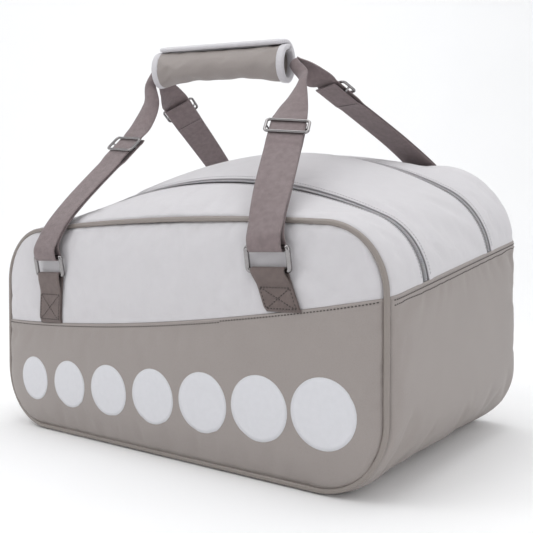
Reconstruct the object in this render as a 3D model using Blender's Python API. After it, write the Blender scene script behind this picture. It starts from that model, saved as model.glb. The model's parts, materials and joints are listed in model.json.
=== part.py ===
"""Paddle case: a soft zipped bag for padel rackets, with two webbing handles and a wrapped grip.

Metres, +Z up. The origin is the middle of the bag's footprint on the floor. +X is the wearer's
right of the front panel, and the front panel faces -Y. Depths written as "y from the front" start at
the front seam and are turned into the frame's own Y by at_depth().
"""
import math

import bmesh
import bpy
from mathutils import Vector

# ---------------------------------------------------------------- overall sizes
LENGTH = 0.525               # side to side
DEPTH = 0.345                # front seam to back seam
BACK_FLARE = 0.003           # how much wider each side is at the back
FRONT_HEIGHT = 0.2500        # top of the front panel
BACK_HEIGHT = 0.3345         # top of the back panel
CROWN_LIFT = 0.0365          # how far the top swells above a straight line from front to back
FRONT_RISE = 0.073           # height of the rounded top of the front outline
BACK_RISE = 0.114            # height of the rounded top of the back outline
RISE_LIFT = 0.047            # extra rise half way back
FRONT_SHOULDER_R = 0.066     # radius of the shoulder at the front
BACK_SHOULDER_R = 0.108      # radius of the shoulder at the back
BOTTOM_CORNER_R = 0.072      # radius of the lower corners
SEAM_TUCK = 0.0036           # how far the shell draws in at the front and back seams
TUCK_RUN = 0.018             # length over which it draws in
PANEL_BULGE = 0.012          # how far the front and back panels swell at their middle

# ---------------------------------------------------------------- cloth, seams and zips
GAP = 0.0003                 # clearance between pieces that touch
SHELL_T = 0.0026             # fabric, foam and lining together
PIPING_R = 0.0032
PANEL_CLEAR = 0.0008         # end panel's edge to the piping or the shell, which are faceted
SEAM_LEFT_Z = 0.129          # height of the two-tone seam at the front panel's left edge
SEAM_SWEEP = 0.047           # how far it climbs to the right edge, as a parabola
HEM_CLIMB = 0.052            # how far each side hem climbs from front to back
BASE_HALF = 0.150            # half length of the flat bottom panel
ZIP_FRONT_Y = 0.072          # depth of the front zip
ZIP_BACK_Y = 0.248           # depth of the back zip
COIL_HALF = 0.0034
TAPE_W = 0.0042              # tape that shows on each side of the coil
COIL_T = 0.0022
COIL_LIFT = 0.0004           # coil above the shell surface
TAPE_T = 0.0008
TAPE_SINK = 0.0009           # tape below the shell surface
BOARD_T = 0.003
BOARD_MARGIN = 0.024         # board edge to the seams
DIVIDER_Y = 0.160
DIVIDER_T = 0.005
DIVIDER_CLEAR = 0.004

# ---------------------------------------------------------------- zip sliders
SLIDER_LEN = 0.017
SLIDER_W = 0.0105
SLIDER_H = 0.0034
BRIDGE_R = 0.0009
BRIDGE_SPAN = 0.009
BRIDGE_H = 0.0049
PULL_LEN = 0.030
PULL_W = 0.008
PULL_T = 0.0012
PULL_EYE_R = 0.0013          # from the pull's hinge line to its upper end
SLIDER_RIDE = 0.0008         # slider to the coil, which is faceted

# ---------------------------------------------------------------- webbing, rings and glides
WEB_W = 0.038
WEB_T = 0.0014
SQUARE_AFTER = 0.030         # the strap lies parallel to its ring up to here
LAYER_GAP = 0.0010           # between the two layers of a doubled strap
TAB_SPREAD = 0.164           # half distance between anchor tabs at their feet
RING_WIRE_R = 0.0019
RING_INNER_W = WEB_W + 0.004
RING_PITCH = 0.022           # bar centre to bar centre
RING_CORNER_R = 0.003
RING_LEAN = 0.004            # upper bar further out than the lower bar
FOLD_PLAY = 0.0006           # lower bar in the tab's fold
RING_SLACK = 0.0015          # play of the ring's top bar in the strap's loop
GLIDE_WIRE_R = 0.0016
GLIDE_INNER_W = WEB_W + 0.004
GLIDE_PITCH = 0.021          # outer bar to outer bar
GLIDE_CORNER_R = 0.0035
GLIDE_TRAVEL = 0.008         # down the strap
GLIDE_RISE = 0.003           # up the strap, before it turns to the grip
RIM_CLEAR = 0.0025           # strap to the piping where it crosses the top edge
TAIL_PAST_GLIDE = 0.018      # doubled layer's end above the glide's middle
MOUTH_W = 0.020              # strap gathered where it enters the grip

# ---------------------------------------------------------------- grip
GRIP_LEFT = (-0.116, 0.120, 0.4446)     # middle of the grip's left mouth, y from the front
GRIP_RIGHT = (0.064, 0.148, 0.4316)
GRIP_HALF_DEEP = 0.0175
GRIP_HALF_TALL = 0.0205
GRIP_WALL = 0.0045
GRIP_BINDING = 0.009         # length of each end binding
BINDING_PROUD = 0.0008
SLIT_FROM, SLIT_TO = 88.0, 112.0        # opening of the sleeve, degrees up from the front
FLAP_FROM, FLAP_TO = 60.0, 160.0        # the flap over it
FLAP_EDGE = 18.0             # part of the flap that is its bound edge, degrees
FLAP_T = 0.0030
FASTENER_T = 0.0008          # hook strip and loop strip
FLAP_STAND = 2 * FASTENER_T + 3 * GAP
FLAP_INSET = 0.004           # flap's ends inside the grip's ends
STRIP_SHORT = 0.020          # hook and loop strips inside the flap's ends

ROUND = 10                   # sides of a round bar
SPAN_STEPS = 8               # steps of a strap between two control points
ROW_APART = 0.003            # closest rows of a shell piece


# ---------------------------------------------------------------- small helpers
def clear_scene():
    for item in list(bpy.data.objects):
        bpy.data.objects.remove(item, do_unlink=True)


def material(name, colour, roughness, metallic=0.0):
    """One Principled material with a plain colour."""
    mat = bpy.data.materials.new(name)
    mat.use_nodes = True
    shader = mat.node_tree.nodes["Principled BSDF"]
    shader.inputs["Base Color"].default_value = (*colour, 1.0)
    shader.inputs["Roughness"].default_value = roughness
    shader.inputs["Metallic"].default_value = metallic
    return mat


def at_depth(x, depth, z):
    """A point given by its depth behind the front seam."""
    return Vector((x, depth - DEPTH / 2, z))


def build_object(name, verts, faces, mat, smooth_angle=35.0):
    """A closed solid from vertices and faces, facing out and shaded smooth."""
    mesh = bpy.data.meshes.new(name)
    mesh.from_pydata([tuple(v) for v in verts], [], faces)
    bm = bmesh.new()
    bm.from_mesh(mesh)
    bmesh.ops.recalc_face_normals(bm, faces=bm.faces)
    bm.to_mesh(mesh)
    bm.free()
    mesh.shade_smooth()
    mesh.set_sharp_from_angle(angle=math.radians(smooth_angle))
    mesh.materials.append(mat)
    obj = bpy.data.objects.new(name, mesh)
    bpy.context.scene.collection.objects.link(obj)
    return obj


def set_origin(obj, point):
    """Move the object's origin without moving its shape."""
    shift = Vector(point)
    for vertex in obj.data.vertices:
        vertex.co -= shift
    obj.location = shift


def grid_solid(name, outer, inner, mat):
    """A sheet with thickness: two equal grids of points joined round their rims."""
    rows, cols = len(outer), len(outer[0])
    verts = [p for row in outer for p in row] + [p for row in inner for p in row]
    back = rows * cols
    faces = []
    for r in range(rows - 1):
        for c in range(cols - 1):
            a = r * cols + c
            b, d = a + 1, a + cols
            faces.append((a, b, d + 1, d))
            faces.append((back + a, back + d, back + d + 1, back + b))
    rim = [c for c in range(cols)]
    rim += [r * cols + cols - 1 for r in range(1, rows)]
    rim += [(rows - 1) * cols + c for c in range(cols - 2, -1, -1)]
    rim += [r * cols for r in range(rows - 2, 0, -1)]
    for here, there in zip(rim, rim[1:] + rim[:1]):
        faces.append((there, here, back + here, back + there))
    return build_object(name, verts, faces, mat)


def sweep(name, stations, mat, closed=False):
    """A solid swept through stations, each a list of the section's corner points."""
    count = len(stations[0])
    verts = [p for station in stations for p in station]
    faces = []
    last = len(stations) if closed else len(stations) - 1
    for s in range(last):
        here, there = s * count, ((s + 1) % len(stations)) * count
        for k in range(count):
            n = (k + 1) % count
            faces.append((here + k, here + n, there + n, there + k))
    if not closed:
        faces.append(tuple(range(count)))
        faces.append(tuple((len(stations) - 1) * count + k for k in range(count)))
    return build_object(name, verts, faces, mat)


def round_section(centre, side, up, radius, count=ROUND):
    """Points of a circle about centre in the plane of side and up."""
    turns = [2 * math.pi * k / count for k in range(count)]
    return [centre + side * (radius * math.cos(a)) + up * (radius * math.sin(a)) for a in turns]


def loop_tube(name, path, normals, radius, mat):
    """A round bar along a closed path; normals is one vector for a flat path, or one for each point."""
    stations = []
    for k, point in enumerate(path):
        along = (path[(k + 1) % len(path)] - path[k - 1]).normalized()
        normal = normals[k] if isinstance(normals, list) else normals
        side = along.cross(normal).normalized()
        stations.append(round_section(point, side, side.cross(along), radius))
    return sweep(name, stations, mat, closed=True)


def resample(points, pieces):
    """Evenly spaced points along a polyline."""
    lengths = [0.0]
    for a, b in zip(points, points[1:]):
        lengths.append(lengths[-1] + (Vector(b) - Vector(a)).length)
    result = []
    k = 0
    for step in range(pieces + 1):
        want = lengths[-1] * step / pieces
        while k < len(points) - 2 and lengths[k + 1] < want:
            k += 1
        span = lengths[k + 1] - lengths[k]
        share = 0.0 if span < 1e-12 else (want - lengths[k]) / span
        result.append(Vector(points[k]).lerp(Vector(points[k + 1]), min(max(share, 0.0), 1.0)))
    return result


def spline(points, steps):
    """A smooth curve through points (centripetal Catmull-Rom), with the given steps in each span."""
    padded = [2 * points[0] - points[1]] + points + [2 * points[-1] - points[-2]]
    result = []
    for k in range(1, len(padded) - 2):
        p = padded[k - 1:k + 3]
        t = [0.0]
        for before, after in zip(p, p[1:]):
            t.append(t[-1] + math.sqrt((after - before).length))
        for step in range(steps):
            u = t[1] + (t[2] - t[1]) * step / steps
            first = p[0].lerp(p[1], u / t[1])
            second = p[1].lerp(p[2], (u - t[1]) / (t[2] - t[1]))
            third = p[2].lerp(p[3], (u - t[2]) / (t[3] - t[2]))
            low = first.lerp(second, u / t[2])
            high = second.lerp(third, (u - t[1]) / (t[3] - t[1]))
            result.append(low.lerp(high, (u - t[1]) / (t[2] - t[1])))
    return result + [points[-1].copy()]


# ---------------------------------------------------------------- the bag's outline
class Section:
    """The bag's outline at one depth, drawn in by 'inset' for an inner face."""

    def __init__(self, depth, inset=0.0):
        share = depth / DEPTH
        swell = 4 * share * (1 - share)
        edge = max(0.0, 1 - min(depth, DEPTH - depth) / TUCK_RUN)
        drawn_in = inset + SEAM_TUCK * edge ** 2
        self.half = LENGTH / 2 + BACK_FLARE * share - drawn_in
        self.base = drawn_in
        crown = FRONT_HEIGHT + (BACK_HEIGHT - FRONT_HEIGHT) * share + CROWN_LIFT * swell
        rise = FRONT_RISE + (BACK_RISE - FRONT_RISE) * share + RISE_LIFT * swell
        self.top = crown - drawn_in
        self.spring_z = crown - rise
        shoulder = FRONT_SHOULDER_R + (BACK_SHOULDER_R - FRONT_SHOULDER_R) * share
        self.shoulder = shoulder - drawn_in
        self.corner = BOTTOM_CORNER_R - drawn_in
        slope = (self.top - self.spring_z - self.shoulder) / (self.half - self.shoulder)
        self.turn = math.pi / 2 - 2 * math.atan(slope)
        self.crown_r = (self.half - self.shoulder) / math.cos(self.turn) + self.shoulder
        self.crown_z = self.top - self.crown_r

    def half_width(self, z):
        """Half width at a height."""
        if z < self.base + self.corner:
            drop = (self.base + self.corner - z) / self.corner
            return self.half - self.corner * (1 - math.sqrt(max(0.0, 1 - drop ** 2)))
        if z <= self.spring_z:
            return self.half
        if z <= self.spring_z + self.shoulder * math.sin(self.turn):
            drop = (z - self.spring_z) / self.shoulder
            return self.half - self.shoulder * (1 - math.sqrt(max(0.0, 1 - drop ** 2)))
        return math.sqrt(max(0.0, self.crown_r ** 2 - (z - self.crown_z) ** 2))

    def shoulder_start(self, z):
        """Angle on the shoulder at a height, zero where it springs from the side."""
        return math.asin(min(1.0, max(0.0, (z - self.spring_z) / self.shoulder)))

    def half_top(self, hem_z):
        """(x, z) points from the hem on the +X side up to the middle of the crown."""
        points = []
        if hem_z < self.spring_z:
            points.append((self.half, hem_z))
        start = self.shoulder_start(hem_z)
        for k in range(13):
            a = start + (self.turn - start) * k / 12
            points.append((self.half - self.shoulder * (1 - math.cos(a)),
                           self.spring_z + self.shoulder * math.sin(a)))
        for k in range(1, 13):
            a = self.turn + (math.pi / 2 - self.turn) * k / 12
            points.append((self.crown_r * math.cos(a), self.crown_z + self.crown_r * math.sin(a)))
        return points

    def half_bottom(self, from_x, hem_z):
        """(x, z) points from the underside round the lower corner and up to the hem."""
        points = [(from_x, self.base)]
        for k in range(13):
            a = math.pi / 2 * k / 12
            points.append((self.half - self.corner * (1 - math.sin(a)),
                           self.base + self.corner * (1 - math.cos(a))))
        if hem_z <= self.spring_z:
            return points + [(self.half, hem_z)]
        points.append((self.half, self.spring_z))
        end = self.shoulder_start(hem_z)
        for k in range(1, 7):
            a = end * k / 6
            points.append((self.half - self.shoulder * (1 - math.cos(a)),
                           self.spring_z + self.shoulder * math.sin(a)))
        return points


def seam_height(x):
    """Height of the two-tone seam on the front panel."""
    share = (x + LENGTH / 2) / LENGTH
    return SEAM_LEFT_Z + SEAM_SWEEP * share ** 2


def hem_height(side, depth):
    """Height of the side hem; side is +1 or -1."""
    return seam_height(side * LENGTH / 2) + HEM_CLIMB * depth / DEPTH


def back_seam_height(x):
    """The two-tone seam of the back panel, level with the hems at its ends."""
    return seam_height(x) + HEM_CLIMB


def bulge(x, z, top):
    """How far a panel swells, nothing at its rim and PANEL_BULGE in the middle."""
    across = max(0.0, 1 - (2 * x / LENGTH) ** 2)
    up = max(0.0, 1 - ((z - top / 2) / (top / 2)) ** 2)
    return PANEL_BULGE * math.sqrt(across * up)


# ---------------------------------------------------------------- shell pieces
def depth_rows(start, end, count):
    """Depths from start to end, with extra rows where the shell draws in at an end seam."""
    rows = [start + (end - start) * k / count for k in range(count + 1)]
    for k in (0.35, 0.65, 1.0):
        rows += [TUCK_RUN * k, DEPTH - TUCK_RUN * k]
    rows = sorted(d for d in rows if start - 1e-9 <= d <= end + 1e-9)
    spaced = [rows[0]]
    for depth in rows[1:-1]:
        if depth - spaced[-1] > ROW_APART and rows[-1] - depth > ROW_APART:
            spaced.append(depth)
    return spaced + [rows[-1]]


def over_top(depth, inset, pieces, hem_gap):
    """Outline points from the right hem over the crown to the left hem."""
    section = Section(depth, inset)
    right = section.half_top(hem_height(1, depth) + hem_gap)
    left = section.half_top(hem_height(-1, depth) + hem_gap)
    outline = [(x, z) for x, z in right] + [(-x, z) for x, z in reversed(left[:-1])]
    line = resample([(x, z, 0.0) for x, z in outline], pieces)
    return [at_depth(p.x, depth, p.y) for p in line]


def arch_strip(name, start, end, rows, mat, lift=0.0, thickness=SHELL_T, pieces=30):
    """A strip of the top that runs over the arch from hem to hem."""
    depths = depth_rows(start, end, rows)
    outer = [over_top(d, -lift, pieces, GAP) for d in depths]
    inner = [over_top(d, thickness - lift, pieces, GAP) for d in depths]
    return grid_solid(name, outer, inner, mat)


def side_panel(name, side, mat):
    """The synthetic leather side: up from the underside, round the lower corner, to the hem."""
    depths = depth_rows(PIPING_R + GAP, DEPTH - GAP, 10)
    grids = []
    for inset in (0.0, SHELL_T):
        grid = []
        for depth in depths:
            section = Section(depth, inset)
            outline = section.half_bottom(BASE_HALF + GAP, hem_height(side, depth))
            line = resample([(x, z, 0.0) for x, z in outline], 14)
            grid.append([at_depth(side * p.x, depth, p.y) for p in line])
        grids.append(grid)
    return grid_solid(name, grids[0], grids[1], mat)


def bottom_panel(mat):
    depths = depth_rows(PIPING_R + GAP, DEPTH - GAP, 8)
    columns = [BASE_HALF * (k / 4 - 1) for k in range(9)]
    grids = []
    for inset in (0.0, SHELL_T):
        grids.append([[at_depth(x, d, Section(d, inset).base) for x in columns] for d in depths])
    return grid_solid("bottom_panel", grids[0], grids[1], mat)


def face_grid(section, low, high, columns, rows, surface):
    """Points over part of an end face, between two height functions of x."""
    grid = []
    for r in range(rows + 1):
        share = 0.5 - 0.5 * math.cos(math.pi * r / rows)
        line = []
        for c in range(columns + 1):
            across = math.sin(math.pi / 2 * (2 * c / columns - 1))
            z = low(0.0) + (high(0.0) - low(0.0)) * share
            x = 0.0
            for _ in range(6):
                x = across * section.half_width(z)
                z = low(x) + (high(x) - low(x)) * share
            line.append(surface(x, z))
        grid.append(line)
    return grid


def end_panel(name, face, low, high, inset, mat):
    """Part of the front (face -1) or back (face +1) panel."""
    seam_depth = 0.0 if face < 0 else DEPTH
    section = Section(seam_depth, inset)
    top = section.top

    def outside(x, z):
        return at_depth(x, seam_depth + face * bulge(x, z, top), z)

    def inside(x, z):
        return at_depth(x, seam_depth + face * (bulge(x, z, top) - SHELL_T), z)

    outer = face_grid(section, low, high, 20, 9, outside)
    inner = face_grid(section, low, high, 20, 9, inside)
    return grid_solid(name, outer, inner, mat)


def end_inset(face):
    """Distance from the outline to the edge of an end panel."""
    return (PIPING_R if face < 0 else SHELL_T) + PANEL_CLEAR


def end_panels(face, mats):
    """Upper and lower parts of one end panel, meeting at the two-tone seam."""
    word = "front" if face < 0 else "back"
    seam = seam_height if face < 0 else back_seam_height
    inset = end_inset(face)
    section = Section(0.0 if face < 0 else DEPTH, inset)
    end_panel(word + "_panel_lower", face, lambda x: section.base, lambda x: seam(x) - GAP / 2,
              inset, mats["leather"])
    end_panel(word + "_panel_upper", face, lambda x: seam(x) + GAP / 2, lambda x: section.top,
              inset, mats["fabric"])


def front_outline(pieces):
    """The closed front outline, anticlockwise seen from the front."""
    section = Section(0.0)
    hem = section.spring_z
    right = section.half_bottom(0.0, hem) + section.half_top(hem)[1:]
    loop = right + [(-x, z) for x, z in reversed(right[1:-1])] + [right[0]]
    return [at_depth(p.x, 0.0, p.y) for p in resample([(x, z, 0.0) for x, z in loop], pieces)[:-1]]


def front_piping(mat):
    loop_tube("front_piping", front_outline(84), Vector((0, 1, 0)), PIPING_R, mat)


def inside_parts(mats):
    """Base board and the padded divider between the two compartments."""
    bottom = Section(DEPTH / 2, SHELL_T + GAP).base
    x = LENGTH / 2 - BOTTOM_CORNER_R - BOARD_MARGIN / 2
    near, far = BOARD_MARGIN, DEPTH - BOARD_MARGIN
    grids = []
    for z in (bottom, bottom + BOARD_T):
        grids.append([[at_depth(s * x, d, z) for s in (-1, 1)] for d in (near, far)])
    grid_solid("base_board", grids[1], grids[0], mats["board"])
    inset = SHELL_T + DIVIDER_CLEAR
    foot = bottom + BOARD_T + GAP
    grids = []
    for depth in (DIVIDER_Y - DIVIDER_T / 2, DIVIDER_Y + DIVIDER_T / 2):
        section = Section(depth, inset)
        grids.append(face_grid(section, lambda x: foot, lambda x: section.top, 12, 8,
                               lambda x, z, depth=depth: at_depth(x, depth, z)))
    grid_solid("divider_panel", grids[0], grids[1], mats["lining"])


# ---------------------------------------------------------------- zips
def zip_strips(word, depth, mats):
    """Coil and the two tapes of one zip, lying over the arch."""
    arch_strip(word + "_zip_coil", depth - COIL_HALF, depth + COIL_HALF, 2, mats["coil"],
               lift=COIL_LIFT, thickness=COIL_T)
    inner, outer = COIL_HALF + GAP, COIL_HALF + GAP + TAPE_W
    arch_strip(word + "_zip_tape_front", depth - outer, depth - inner, 1, mats["tape"],
               lift=-TAPE_SINK, thickness=TAPE_T)
    arch_strip(word + "_zip_tape_back", depth + inner, depth + outer, 1, mats["tape"],
               lift=-TAPE_SINK, thickness=TAPE_T)


def slider_seat(depth):
    """Where the closed slider sits: the start of the left shoulder, and the shoulder's centre."""
    section = Section(depth)
    seat = at_depth(-section.half - COIL_LIFT - SLIDER_RIDE, depth, section.spring_z)
    centre = at_depth(-section.half + section.shoulder, depth, section.spring_z)
    return seat, centre


def zip_slider(word, depth, mats):
    """Slider body with its bridge, standing out to -X from the coil."""
    seat, centre = slider_seat(depth)
    out, up, side = Vector((-1, 0, 0)), Vector((0, 0, 1)), Vector((0, 1, 0))
    half_l, half_w = SLIDER_LEN / 2, SLIDER_W / 2
    shield = [(-half_l, -0.62 * half_w), (-0.55 * half_l, -half_w), (0.45 * half_l, -half_w),
              (half_l, -0.45 * half_w), (half_l, 0.45 * half_w), (0.45 * half_l, half_w),
              (-0.55 * half_l, half_w), (-half_l, 0.62 * half_w)]
    edge = 0.0008
    stations = []
    for height, shrink in ((0.0, 1.0), (SLIDER_H - edge, 1.0), (SLIDER_H, 0.86)):
        stations.append([seat + out * height + up * (a * shrink) + side * (b * shrink)
                         for a, b in shield])
    body = sweep(word + "_zip_slider", stations, mats["steel"])
    foot = SLIDER_H - 0.0006
    arch = []
    for k in range(9):
        a = math.pi * k / 8
        height = foot + BRIDGE_H * math.sin(a) ** 0.6
        arch.append(seat + out * height + up * (-BRIDGE_SPAN / 2 * math.cos(a)))
    stations = []
    for k, point in enumerate(arch):
        along = (arch[min(k + 1, 8)] - arch[max(k - 1, 0)]).normalized()
        stations.append(round_section(point, side, along.cross(side), BRIDGE_R, 8))
    bridge = sweep(word + "_bridge_stock", stations, mats["steel"])
    union(body, bridge)
    set_origin(body, centre)


def pull_axis(depth):
    """Where the pull hangs on the bridge."""
    seat, _ = slider_seat(depth)
    return seat + Vector((-1, 0, 0)) * (SLIDER_H + 2 * GAP + PULL_EYE_R)


def zip_pull(word, depth, mats):
    """A flat pull hanging down from the bridge by a square eye."""
    axis = pull_axis(depth)
    down, side, out = Vector((0, 0, -1)), Vector((0, 1, 0)), Vector((-1, 0, 0))
    half = PULL_W / 2
    eye = PULL_EYE_R
    outline = [(-eye, -half), (PULL_LEN * 0.8, -half), (PULL_LEN, -half * 0.6),
               (PULL_LEN, half * 0.6), (PULL_LEN * 0.8, half), (-eye, half)]
    hole = [(-0.0002, -half * 0.45), (0.0056, -half * 0.45), (0.0056, half * 0.45),
            (-0.0002, half * 0.45)]
    stations = []
    for offset in (-PULL_T / 2, PULL_T / 2):
        stations.append([axis + down * a + side * b + out * offset for a, b in outline])
    pull = sweep(word + "_zip_pull", stations, mats["steel"])
    stations = []
    for offset in (-PULL_T * 2, PULL_T * 2):
        stations.append([axis + down * a + side * b + out * offset for a, b in hole])
    cutter = sweep(word + "_pull_cutter", stations, mats["steel"])
    subtract(pull, cutter)
    set_origin(pull, axis)


def boolean(target, tool, operation):
    """Apply a Boolean at once and remove the tool."""
    modifier = target.modifiers.new("cut", "BOOLEAN")
    modifier.operation = operation
    modifier.solver = "EXACT"
    modifier.object = tool
    bpy.context.view_layer.update()
    graph = bpy.context.evaluated_depsgraph_get()
    mesh = bpy.data.meshes.new_from_object(target.evaluated_get(graph))
    target.modifiers.clear()
    target.data = mesh
    bpy.data.objects.remove(tool, do_unlink=True)
    mesh.shade_smooth()
    mesh.set_sharp_from_angle(angle=math.radians(35))


def union(target, tool):
    boolean(target, tool, "UNION")


def subtract(target, tool):
    boolean(target, tool, "DIFFERENCE")


# ---------------------------------------------------------------- handles
def at_ring_offset():
    """Middle of the strap's loop to the middle of its webbing."""
    return RING_WIRE_R + RING_SLACK + WEB_T / 2


class Leg:
    """One of the four strap legs, from its ring to the grip's mouth."""

    def __init__(self, name, face, side, ring_place, foot_z, rim_x, glide_width, route):
        self.name = name
        self.face = face                    # -1 front, +1 back
        self.side = side                    # -1 left, +1 right
        self.ring_x, self.ring_z = ring_place   # middle of the ring's lower bar
        self.foot_z = foot_z                # foot of the anchor tab
        self.rim_x = rim_x                  # where the strap crosses the panel's top edge
        self.glide_width = Vector(glide_width).normalized()     # the strap's width there
        self.route = route                  # glide middle and the points after it, y from the front

    def wall(self, z):
        """Depth of the panel's outer face behind the strap at a height."""
        edge = 0.0 if self.face < 0 else DEPTH
        top = Section(edge, end_inset(self.face)).top
        return edge + self.face * bulge(TAB_SPREAD - WEB_W * 0.75, z, top)

    def tab_x(self):
        return self.side * TAB_SPREAD

    def lower_bar(self):
        """Middle of the ring's lower bar, held in the tab's fold."""
        stand = GAP + WEB_T + FOLD_PLAY + RING_WIRE_R
        return at_depth(self.ring_x, self.wall(self.ring_z) + self.face * stand, self.ring_z)

    def upper_bar(self):
        rise = math.sqrt(RING_PITCH ** 2 - RING_LEAN ** 2)
        return self.lower_bar() + Vector((0, self.face * RING_LEAN, rise))

    def rim(self):
        """The panel's top edge where the strap crosses it."""
        edge = 0.0 if self.face < 0 else DEPTH
        section = Section(edge)
        z = section.crown_z + math.sqrt(section.crown_r ** 2 - self.rim_x ** 2)
        stand = PIPING_R + 2 * WEB_T + LAYER_GAP + RIM_CLEAR
        return at_depth(self.rim_x, edge + self.face * stand, z)

    def centre_line(self):
        """Control points between the two layers, from the ring to the grip's mouth."""
        glide = at_depth(*self.route[0])
        rim = self.rim()
        over = rim.lerp(glide, 0.26) + Vector((0, 0, 0.004))
        along = (glide - over).normalized()
        bar = self.upper_bar()
        above = bar + (bar - self.lower_bar()).normalized() * (2.4 * at_ring_offset())
        near, far = glide_reach(GLIDE_TRAVEL) + 0.001, glide_reach(GLIDE_TRAVEL) + 0.008
        rise = glide_reach(GLIDE_RISE) + 0.001
        points = [bar, above, rim, over, glide - along * far, glide - along * near, glide,
                  glide + along * (rise / 2), glide + along * rise]
        return points + [at_depth(*p) for p in self.route[1:]]


def glide_reach(travel):
    """Length of strap that the glide covers on one side of its middle over its travel."""
    return GLIDE_PITCH / 2 + travel + GLIDE_WIRE_R


def strap_frames(leg):
    """Smooth centre line of a leg with its travel, width and outward directions."""
    points = leg.centre_line()
    flat = Vector((-leg.face, 0, 0))
    turned = leg.glide_width
    upright = Vector((0, 0, math.copysign(1, turned.z)))
    hints = [flat, flat, flat, flat.lerp(turned, 0.5)] + [turned] * 5
    turning = len(points) - len(hints)
    for k in range(turning):
        hints.append(turned.lerp(upright, ((k + 1) / turning) ** 0.6).normalized())
    curve = spline(points, SPAN_STEPS)
    widths = []
    for here, there in zip(hints, hints[1:]):
        widths += [here.lerp(there, step / SPAN_STEPS) for step in range(SPAN_STEPS)]
    widths.append(hints[-1])
    frames = []
    gone = 0.0
    for k, point in enumerate(curve):
        gone += (point - curve[max(k - 1, 0)]).length
        along = (curve[min(k + 1, len(curve) - 1)] - curve[max(k - 1, 0)]).normalized()
        square = widths[k] - along * (widths[k].dot(along) * blend(0.0, 1.0, gone / SQUARE_AFTER))
        width = square.normalized()
        frames.append((point, along, width, width.cross(along).normalized()))
    return frames


def glide_index():
    """Position of the glide, the seventh control point, among the frames."""
    return 6 * SPAN_STEPS


def ribbon_section(point, width, normal, half_w, half_t):
    return [point + width * half_w + normal * half_t, point - width * half_w + normal * half_t,
            point - width * half_w - normal * half_t, point + width * half_w - normal * half_t]


def blend(low, high, share):
    """Smooth step from low to high."""
    share = min(max(share, 0.0), 1.0)
    return low + (high - low) * share * share * (3 - 2 * share)


def strap_leg(leg, mats):
    """Doubled webbing: round the ring, up behind the glide, and the single layer on to the grip."""
    frames = strap_frames(leg)
    at_ring = at_ring_offset()
    at_glide = GLIDE_WIRE_R + GAP + WEB_T / 2
    closed = (WEB_T + LAYER_GAP) / 2
    lengths = [0.0]
    for a, b in zip(frames, frames[1:]):
        lengths.append(lengths[-1] + (b[0] - a[0]).length)
    glide_at = lengths[glide_index()]
    clear = glide_reach(GLIDE_TRAVEL)
    free = glide_at + glide_reach(GLIDE_RISE)

    def spread(s):
        near_ring = blend(at_ring, closed, s / 0.022)
        before = blend(closed, at_glide, (s - (glide_at - clear - 0.014)) / 0.013)
        return max(near_ring, before) if s < glide_at else at_glide

    def single(s):
        return blend(at_glide, 0.0, (s - free) / 0.020)

    stations = []
    tail = [k for k, s in enumerate(lengths) if s <= glide_at + TAIL_PAST_GLIDE]
    for k in reversed(tail):
        point, _, width, normal = frames[k]
        stations.append(ribbon_section(point - normal * spread(lengths[k]), width, -normal,
                                       WEB_W / 2, WEB_T / 2))
    point, along, width, normal = frames[0]
    for k in range(1, 8):
        a = math.pi * k / 8
        outward = -normal * math.cos(a) - along * math.sin(a)
        stations.append(ribbon_section(point + outward * at_ring, width, outward,
                                       WEB_W / 2, WEB_T / 2))
    end = lengths[-1]
    for k, (point, _, width, normal) in enumerate(frames):
        s = lengths[k]
        offset = spread(s) if s < glide_at else single(s)
        gather = (s - free) / (end - free)
        half_w = blend(WEB_W, MOUTH_W, gather) / 2
        half_t = blend(WEB_T, WEB_T * 1.8, gather) / 2
        stations.append(ribbon_section(point + normal * offset, width, normal, half_w, half_t))
    sweep("strap_" + leg.name, stations, mats["webbing"])


def rounded_rectangle(width, height, radius, steps=4):
    """(a, b) points of a rounded rectangle, anticlockwise."""
    points = []
    corners = ((1, -1, -90), (1, 1, 0), (-1, 1, 90), (-1, -1, 180))
    for sx, sy, start in corners:
        cx, cy = sx * (width / 2 - radius), sy * (height / 2 - radius)
        for k in range(steps + 1):
            a = math.radians(start + 90 * k / steps)
            points.append((cx + radius * math.cos(a), cy + radius * math.sin(a)))
    return points


def ring(leg, mats):
    """Rectangular ring between the anchor tab and the strap."""
    low, high = leg.lower_bar(), leg.upper_bar()
    up = (high - low).normalized()
    side = Vector((1, 0, 0))
    middle = (low + high) / 2
    outline = rounded_rectangle(RING_INNER_W + 2 * RING_WIRE_R, RING_PITCH, RING_CORNER_R)
    path = [middle + side * a + up * b for a, b in outline]
    body = loop_tube("ring_" + leg.name, path, side.cross(up), RING_WIRE_R, mats["steel"])
    set_origin(body, low)


def glide(leg, mats):
    """Three-bar glide: outer bars over the strap, middle bar between its two layers."""
    point, along, width, normal = strap_frames(leg)[glide_index()]
    outer_lift = 2 * GLIDE_WIRE_R + WEB_T + 2 * GAP
    outline = rounded_rectangle(GLIDE_INNER_W + 2 * GLIDE_WIRE_R, GLIDE_PITCH, GLIDE_CORNER_R)
    path = []
    for a, b in outline:
        lift = outer_lift * min(1.0, abs(b) / (GLIDE_PITCH / 2 - GLIDE_CORNER_R))
        path.append(point + width * a + along * b + normal * lift)
    middles = []
    for sign in (1, -1):
        middles.append(point + width * (sign * (GLIDE_INNER_W / 2 + GLIDE_WIRE_R)))
    half = len(path) // 2
    path = path[:5] + [middles[0]] + path[5:half + 5] + [middles[1]] + path[half + 5:]
    body = loop_tube("glide_" + leg.name, path, normal, GLIDE_WIRE_R, mats["steel"])
    reach = GLIDE_INNER_W / 2 + GLIDE_WIRE_R
    stations = [round_section(point + width * (s * reach), along, normal, GLIDE_WIRE_R * 0.94, 8)
                for s in (-1, 1)]
    bar = sweep("bar_stock_" + leg.name, stations, mats["steel"])
    union(body, bar)
    set_origin(body, point)


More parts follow.
